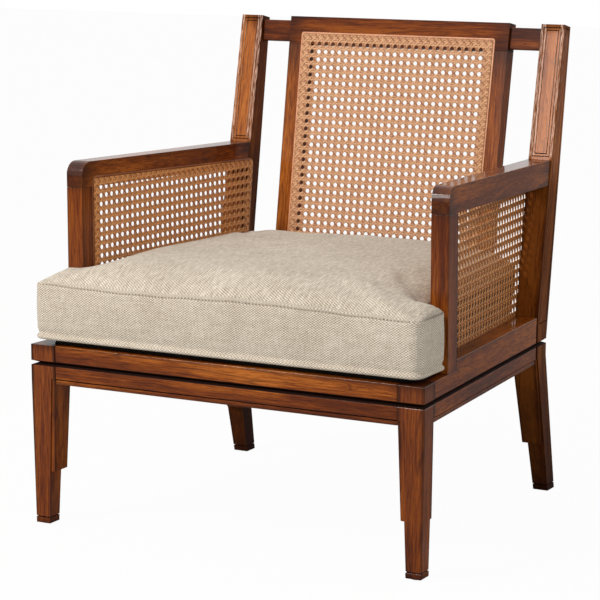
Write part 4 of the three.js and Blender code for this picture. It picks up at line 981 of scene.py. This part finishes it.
SEAM_WIDTH = 1.5 * MM  # of each side of the seam's crease
SEAM_PULL = 1.8 * MM  # depth of the crease
CUSHION_FRONT = FRONT - 2 * MM
EAR_BACK = FRONT + 88 * MM  # where the cushion narrows in front of the arm posts
EAR_HALF = 342 * MM
FRONT_ROUND = 17 * MM
EAR_ROUND = 9 * MM
BACK_ROUND = 22 * MM
CUSHION_BACK = PANEL_FOOT - 7 * MM
NECK_SLACK = 6 * MM  # from the arms to the cover before it is filled
CUSHION_GAP = 1.5 * MM  # to the arms and their posts
POST_STRIP = 8 * MM  # points up to this far behind the arm posts' fronts are brought forward
PANEL_GAP = 4 * MM
DECK_GAP = 0.2 * MM
PRESSURE = 3.0
FARTHEST_MOVE = 6 * MM
STEPS = 20
EAR_CELLS = 5
NECK_CELLS = 84
FRONT_CELLS = 12
BACK_CELLS = 58
WALL_RINGS = 10


def bake_mesh(piece):
    """The piece as its modifiers leave it, as a plain mesh."""
    graph = bpy.context.evaluated_depsgraph_get()
    graph.update()
    return bpy.data.meshes.new_from_object(piece.evaluated_get(graph), depsgraph=graph)


def neck_half(y):
    """Half the width of the cushion between the arms."""
    return arm_inner(y - FRONT) - NECK_SLACK


def seam_level(x):
    """The top seam waves a little along the cushion."""
    height, length, crest = SEAM_WAVE
    wave = height * math.cos(2 * math.pi * (x - crest) / length)
    ripple = SEAM_RIPPLE[0] * math.sin(x / SEAM_RIPPLE[1])
    return CUSHION_SEAM - SEAM_SAG + wave + ripple


def draw_round(point, corner, radius, side, front):
    """Draws a point near a square corner of the plan in under the corner's round."""
    across = (point.x - corner[0]) * side + radius
    along = (point.y - corner[1]) * front + radius
    if across > 0 and along > 0:
        share = max(across, along) / math.hypot(across, along)
        point.x = corner[0] + side * (across * share - radius)
        point.y = corner[1] + front * (along * share - radius)


def plan_point(i, j):
    """A crossing of the cover's grid in plan, counted from the right end and from the front."""
    if j <= FRONT_CELLS:
        y = CUSHION_FRONT + (EAR_BACK - CUSHION_FRONT) * j / FRONT_CELLS
    else:
        y = EAR_BACK + (CUSHION_BACK - EAR_BACK) * (j - FRONT_CELLS) / BACK_CELLS
    neck = neck_half(max(y, EAR_BACK))
    column = i - EAR_CELLS - NECK_CELLS / 2
    side = -1 if column < 0 else 1
    step = abs(column)
    if step <= NECK_CELLS / 2:
        x = neck * step / (NECK_CELLS / 2)
    else:
        x = neck + (EAR_HALF - neck) * (step - NECK_CELLS / 2) / EAR_CELLS
    point = Vector((side * x, y, 0))
    draw_round(point, (side * EAR_HALF, CUSHION_FRONT), FRONT_ROUND, side, -1)
    draw_round(point, (side * EAR_HALF, EAR_BACK), EAR_ROUND, side, 1)
    draw_round(point, (side * neck_half(CUSHION_BACK), CUSHION_BACK), BACK_ROUND, side, 1)
    return point


def side_distance(x, y):
    """Distance in plan from a point to the side of the T that x is measured towards."""
    neck = neck_half(EAR_BACK)
    if y >= EAR_BACK:
        return neck_half(y) - x
    if x > neck:
        return min(EAR_HALF - x, EAR_BACK - y)
    return min(EAR_HALF - x, math.hypot(neck - x, EAR_BACK - y))


def crown_share(x, y):
    """The share of the crown's height that the top has at a point."""
    behind = min(max((y - EAR_BACK) / REACH_CHANGE, 0.0), 1.0)
    beside = FRONT_REACH + (SIDE_REACH - FRONT_REACH) * behind
    share = 1.0
    for distance, reach in (
        (side_distance(x, y), beside),
        (side_distance(-x, y), beside),
        (y - CUSHION_FRONT, FRONT_REACH),
        (CUSHION_BACK - y, BACK_REACH),
    ):
        share *= 1 - math.exp(-max(distance, 0.0) / reach)
    return share


def top_panel(bm):
    """The T-shaped top of the cover, in even faces."""
    columns = NECK_CELLS + 2 * EAR_CELLS
    rows = FRONT_CELLS + BACK_CELLS
    bmesh.ops.create_grid(bm, x_segments=columns, y_segments=rows, size=1.0)
    beside = []
    for face in bm.faces:
        middle = face.calc_center_median()
        column = (middle.x + 1) / 2 * columns
        if (middle.y + 1) / 2 * rows > FRONT_CELLS and not EAR_CELLS < column < columns - EAR_CELLS:
            beside.append(face)
    bmesh.ops.delete(bm, geom=beside, context="FACES")
    for vert in bm.verts:
        i = round((vert.co.x + 1) / 2 * columns)
        j = round((vert.co.y + 1) / 2 * rows)
        vert.co = plan_point(i, j)
    for vert in bm.verts:
        vert.co.z = seam_level(vert.co.x) + RELAXED_CROWN * crown_share(vert.co.x, vert.co.y)


def outward(vert):
    """Direction in plan out of the panel at a point of its rim."""
    total = Vector((0, 0, 0))
    for edge in vert.link_edges:
        if not edge.is_boundary:
            continue
        along = edge.verts[1].co - edge.verts[0].co
        normal = Vector((along.y, -along.x, 0)).normalized()
        middle = (edge.verts[0].co + edge.verts[1].co) / 2
        if normal.dot(edge.link_faces[0].calc_center_median() - middle) > 0:
            normal.negate()
        total += normal
    return total.normalized()


def slack_cover():
    """The cushion's cover before it is filled: top, boxing, a roll along the foot seam, and underside."""
    bm = bmesh.new()
    seam = bm.verts.layers.float.new("seam")
    held = bm.verts.layers.float.new("held")
    crown = bm.faces.layers.float.new("crown")
    top_panel(bm)
    for face in bm.faces:
        face[crown] = 1.0
    rim = [vert for vert in bm.verts if vert.is_boundary]
    for vert in rim:
        vert[seam] = 1.0
        vert[held] = 1.0
    plan = {vert: (vert.co.copy(), outward(vert)) for vert in rim}
    rings = []
    for ring in range(1, WALL_RINGS + 1):
        share = ring / WALL_RINGS
        rings.append((share, FOOT_SEAM, WALL_BULGE * math.sin(math.pi * share)))
    rings[-1] = (1.0, FOOT_SEAM, -FOOT_SEAM_PULL)
    for drop, reach in FOOT_ROLL:
        rings.append((1.0, FOOT_SEAM - drop * MM, reach * MM))
    edges = [edge for edge in bm.edges if edge.is_boundary]
    for number, (share, level, reach) in enumerate(rings):
        grown = bmesh.ops.extrude_edge_only(bm, edges=edges)["geom"]
        verts = set(of_kind(grown, BMVert))
        edges = of_kind(grown, BMEdge)
        edges = [edge for edge in edges if all(vert in verts for vert in edge.verts)]
        for face in of_kind(grown, BMFace):
            face[crown] = 0.0
        following = {}
        for vert in verts:
            source = next(edge.other_vert(vert) for edge in vert.link_edges if edge.other_vert(vert) in plan)
            start, out = plan[source]
            vert.co = start + out * reach
            vert.co.z = start.z + (level - start.z) * share
            vert[seam] = 0.0
            vert[held] = float(number + 1 >= WALL_RINGS)
            following[vert] = (start, out)
        plan = following
    for face in bmesh.ops.holes_fill(bm, edges=edges, sides=0)["faces"]:
        face[crown] = 0.0
    bmesh.ops.recalc_face_normals(bm, faces=bm.faces[:])
    for vert in bm.verts:
        behind = max(0.0, (vert.co.y - EAR_BACK) / (CUSHION_BACK - EAR_BACK))
        rise = min(vert.co.z, CUSHION_SEAM) - FOOT_SEAM
        vert.co.y += math.tan(PANEL_RAKE) * rise * behind
    return mesh_from(bm, "cushion_slack")


def fill_cover(mesh):
    """Blows the cover up as cloth between its held seams, and limits how far it moves."""
    cover = placed("cushion_cover", mesh)
    rest = [vert.co.copy() for vert in mesh.vertices]
    held = cover.vertex_groups.new(name="seams")
    fixed = [k for k, item in enumerate(mesh.attributes["held"].data) if item.value > 0.5]
    held.add(fixed, 1.0, "REPLACE")
    cloth = cover.modifiers.new("filling", "CLOTH")
    settings = cloth.settings
    settings.quality = 6
    settings.mass = 0.3
    settings.tension_stiffness = 18
    settings.compression_stiffness = 12
    settings.shear_stiffness = 6
    settings.bending_stiffness = 1.5
    settings.vertex_group_mass = "seams"
    settings.use_pressure = True
    settings.uniform_pressure_force = PRESSURE
    settings.effector_weights.gravity = 0
    cloth.collision_settings.use_collision = False
    scene = bpy.context.scene
    for step in range(1, STEPS + 1):
        scene.frame_set(step)
    filled = bake_mesh(cover)
    for vert, start in zip(filled.vertices, rest):
        move = vert.co - start
        if move.length > 0:
            kept = FARTHEST_MOVE * math.tanh(move.length / FARTHEST_MOVE)
            vert.co = start + move * (kept / move.length)
    scene.frame_set(1)
    bpy.data.objects.remove(cover)
    return filled


def keep_clear(co):
    """Holds a point of the cushion off the arms, the arm posts, the back panel and the deck."""
    limit = FRONT + ARM_SETBACK - CUSHION_GAP
    inner = arm_inner(co.y - FRONT) - CUSHION_GAP
    beside = abs(co.x) > arm_inner(ARM_SETBACK) - CUSHION_GAP
    if co.y > limit and beside and co.y < limit + POST_STRIP:
        co.y = limit
    elif co.y > limit:
        co.x = max(-inner, min(inner, co.x))
    co.y = min(co.y, PANEL_FOOT + math.tan(PANEL_RAKE) * (co.z - RAIL_TOP) - PANEL_GAP)
    co.z = max(co.z, CUSHION_FOOT + DECK_GAP)


def make_cushion():
    mesh = slack_cover()
    mesh = fill_cover(mesh)
    bm = bmesh.new()
    bm.from_mesh(mesh)
    bmesh.ops.subdivide_edges(bm, edges=bm.edges[:], cuts=1, use_grid_fill=True, smooth=0.5)
    seam = bm.verts.layers.float["seam"]
    crown = bm.faces.layers.float["crown"]
    loop = [vert for vert in bm.verts if vert[seam] > 0.9]
    above = [face for face in bm.faces if face[crown] > 0.5]
    below = [face for face in bm.faces if face[crown] <= 0.5]
    for side in (above, below):
        bmesh.ops.inset_region(bm, faces=side, thickness=SEAM_WIDTH, use_even_offset=True)
    for vert in bm.verts:
        vert[seam] = 0.0
    bm.normal_update()
    # The seam's points are drawn in to a crease and marked for its painted shade.
    for vert in loop:
        vert[seam] = 1.0
        vert.co -= vert.normal * SEAM_PULL
    for vert in bm.verts:
        keep_clear(vert.co)
    for face in bm.faces:
        face.smooth = True
    mesh = mesh_from(bm, "seat_cushion_linen")
    piece = keep_piece(mesh.name, mesh, "cushion", ["seat_cushion"], [linen_finish()])


# Hidden parts


def make_plain_parts():
    """The board under a near-black cloth, dark also as painted shade under the cushion, and finishes for the
    parts that keep their solids.
    """
    beech = beech_finish()
    finishes = {"corner_block": beech, "cleat": beech, "screw": steel_finish(), "glide": nylon_finish()}
    for name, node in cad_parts.items():
        for word, finish in finishes.items():
            if word in name:
                node.data.materials.clear()
                node.data.materials.append(finish)
    bm = merged_copy("seat_deck")
    ease_edges(bm, 2.2 * MM, shortest=8 * MM, narrowest=4 * MM)
    mesh = mesh_from(bm, "seat_deck_cloth")
    soften(keep_piece("seat_deck_cloth", mesh, "frame", ["seat_deck"], [deck_dark_finish()]))


# Studio

# The camera, fitted to lines and points of the chair in the photograph
AZIMUTH = 28.4526
ELEVATION = 10.1746
DISTANCE = 3.89968
AIM = (0, FRONT + 300 * MM, 400 * MM)
OFF_AIM = (18.217 * MM, 48.378 * MM)  # how far the camera lies to the left and down
FOCAL_WIDTHS = math.exp(7.774013) / 600  # focal length, in widths of the picture
SENSOR = 36


def make_camera():
    azimuth = math.radians(AZIMUTH)
    elevation = math.radians(ELEVATION)
    ahead = Vector((math.sin(azimuth), -math.cos(azimuth), 0))
    back = ahead * math.cos(elevation) + Vector((0, 0, math.sin(elevation)))
    right = Vector((math.cos(azimuth), math.sin(azimuth), 0))
    up = back.cross(right)
    data = bpy.data.cameras.new("camera")
    data.sensor_width = SENSOR
    data.lens = SENSOR * FOCAL_WIDTHS
    data.clip_start = 0.05
    data.clip_end = 50
    camera = placed("camera", data)
    camera.location = Vector(AIM) + back * DISTANCE - right * OFF_AIM[0] - up * OFF_AIM[1]
    camera.rotation_mode = "QUATERNION"
    camera.rotation_quaternion = (-back).to_track_quat("-Z", "Y")
    bpy.context.scene.camera = camera


def softbox(name, place, aim, size, power, color=(1, 1, 1)):
    data = bpy.data.lights.new(name, "AREA")
    data.shape = "RECTANGLE"
    data.size, data.size_y = size
    data.energy = power
    data.color = color
    lamp = placed(name, data)
    lamp.location = place
    lamp.rotation_euler = (Vector(aim) - Vector(place)).to_track_quat("-Z", "Y").to_euler()


def make_floor():
    bm = bmesh.new()
    bmesh.ops.create_grid(bm, x_segments=1, y_segments=1, size=12)
    mesh = mesh_from(bm, "studio_floor")
    floor = placed("studio_floor", mesh)
    finish = Finish("studio_floor")
    diffuse = finish.add("ShaderNodeBsdfDiffuse", None, {"Color": (0.55, 0.55, 0.55, 1)})
    glow = finish.add("ShaderNodeEmission", None, {"Color": (1, 1, 1, 1), "Strength": 1.0})
    factor = finish.add("ShaderNodeLightPath", out="Is Camera Ray") * 0.97
    shader = finish.add("ShaderNodeMixShader", None, {0: factor, 1: diffuse, 2: glow})
    finish.add("ShaderNodeOutputMaterial", None, {"Surface": shader})
    mesh.materials.append(finish.material)


def make_world():
    world = bpy.data.worlds.new("studio")
    bpy.context.scene.world = world
    finish = Finish("studio", world)
    light = finish.add("ShaderNodeBackground", None, {"Color": (1.0, 0.98, 0.95, 1), "Strength": 0.55})
    white = finish.add("ShaderNodeBackground", None, {"Color": (1, 1, 1, 1), "Strength": 1.0})
    camera = finish.add("ShaderNodeLightPath", out="Is Camera Ray")
    glossy = finish.add("ShaderNodeLightPath", out="Is Glossy Ray")
    through = finish.add("ShaderNodeLightPath", out="Is Transmission Ray")
    straight = camera.most(glossy).most(through)
    shader = finish.add("ShaderNodeMixShader", None, {0: straight, 1: light, 2: white})
    finish.add("ShaderNodeOutputWorld", None, {"Surface": shader})


def make_studio():
    make_camera()
    make_floor()
    make_world()
    softbox("key", (-1.6, -2.4, 2.6), (0, 0, 0.4), (0.85, 0.85), 80, (1.0, 0.97, 0.93))
    softbox("fill", (2.6, -1.8, 1.6), (0, 0, 0.45), (1.2, 1.6), 14)
    softbox("strip", (-0.6, -1.92, 1.45), (0.31, 0.28, 0.7), (0.2, 0.9), 5)
    bpy.context.scene.view_settings.view_transform = "Standard"


make_wood()
make_cane()
make_cushion()
make_plain_parts()
make_studio()
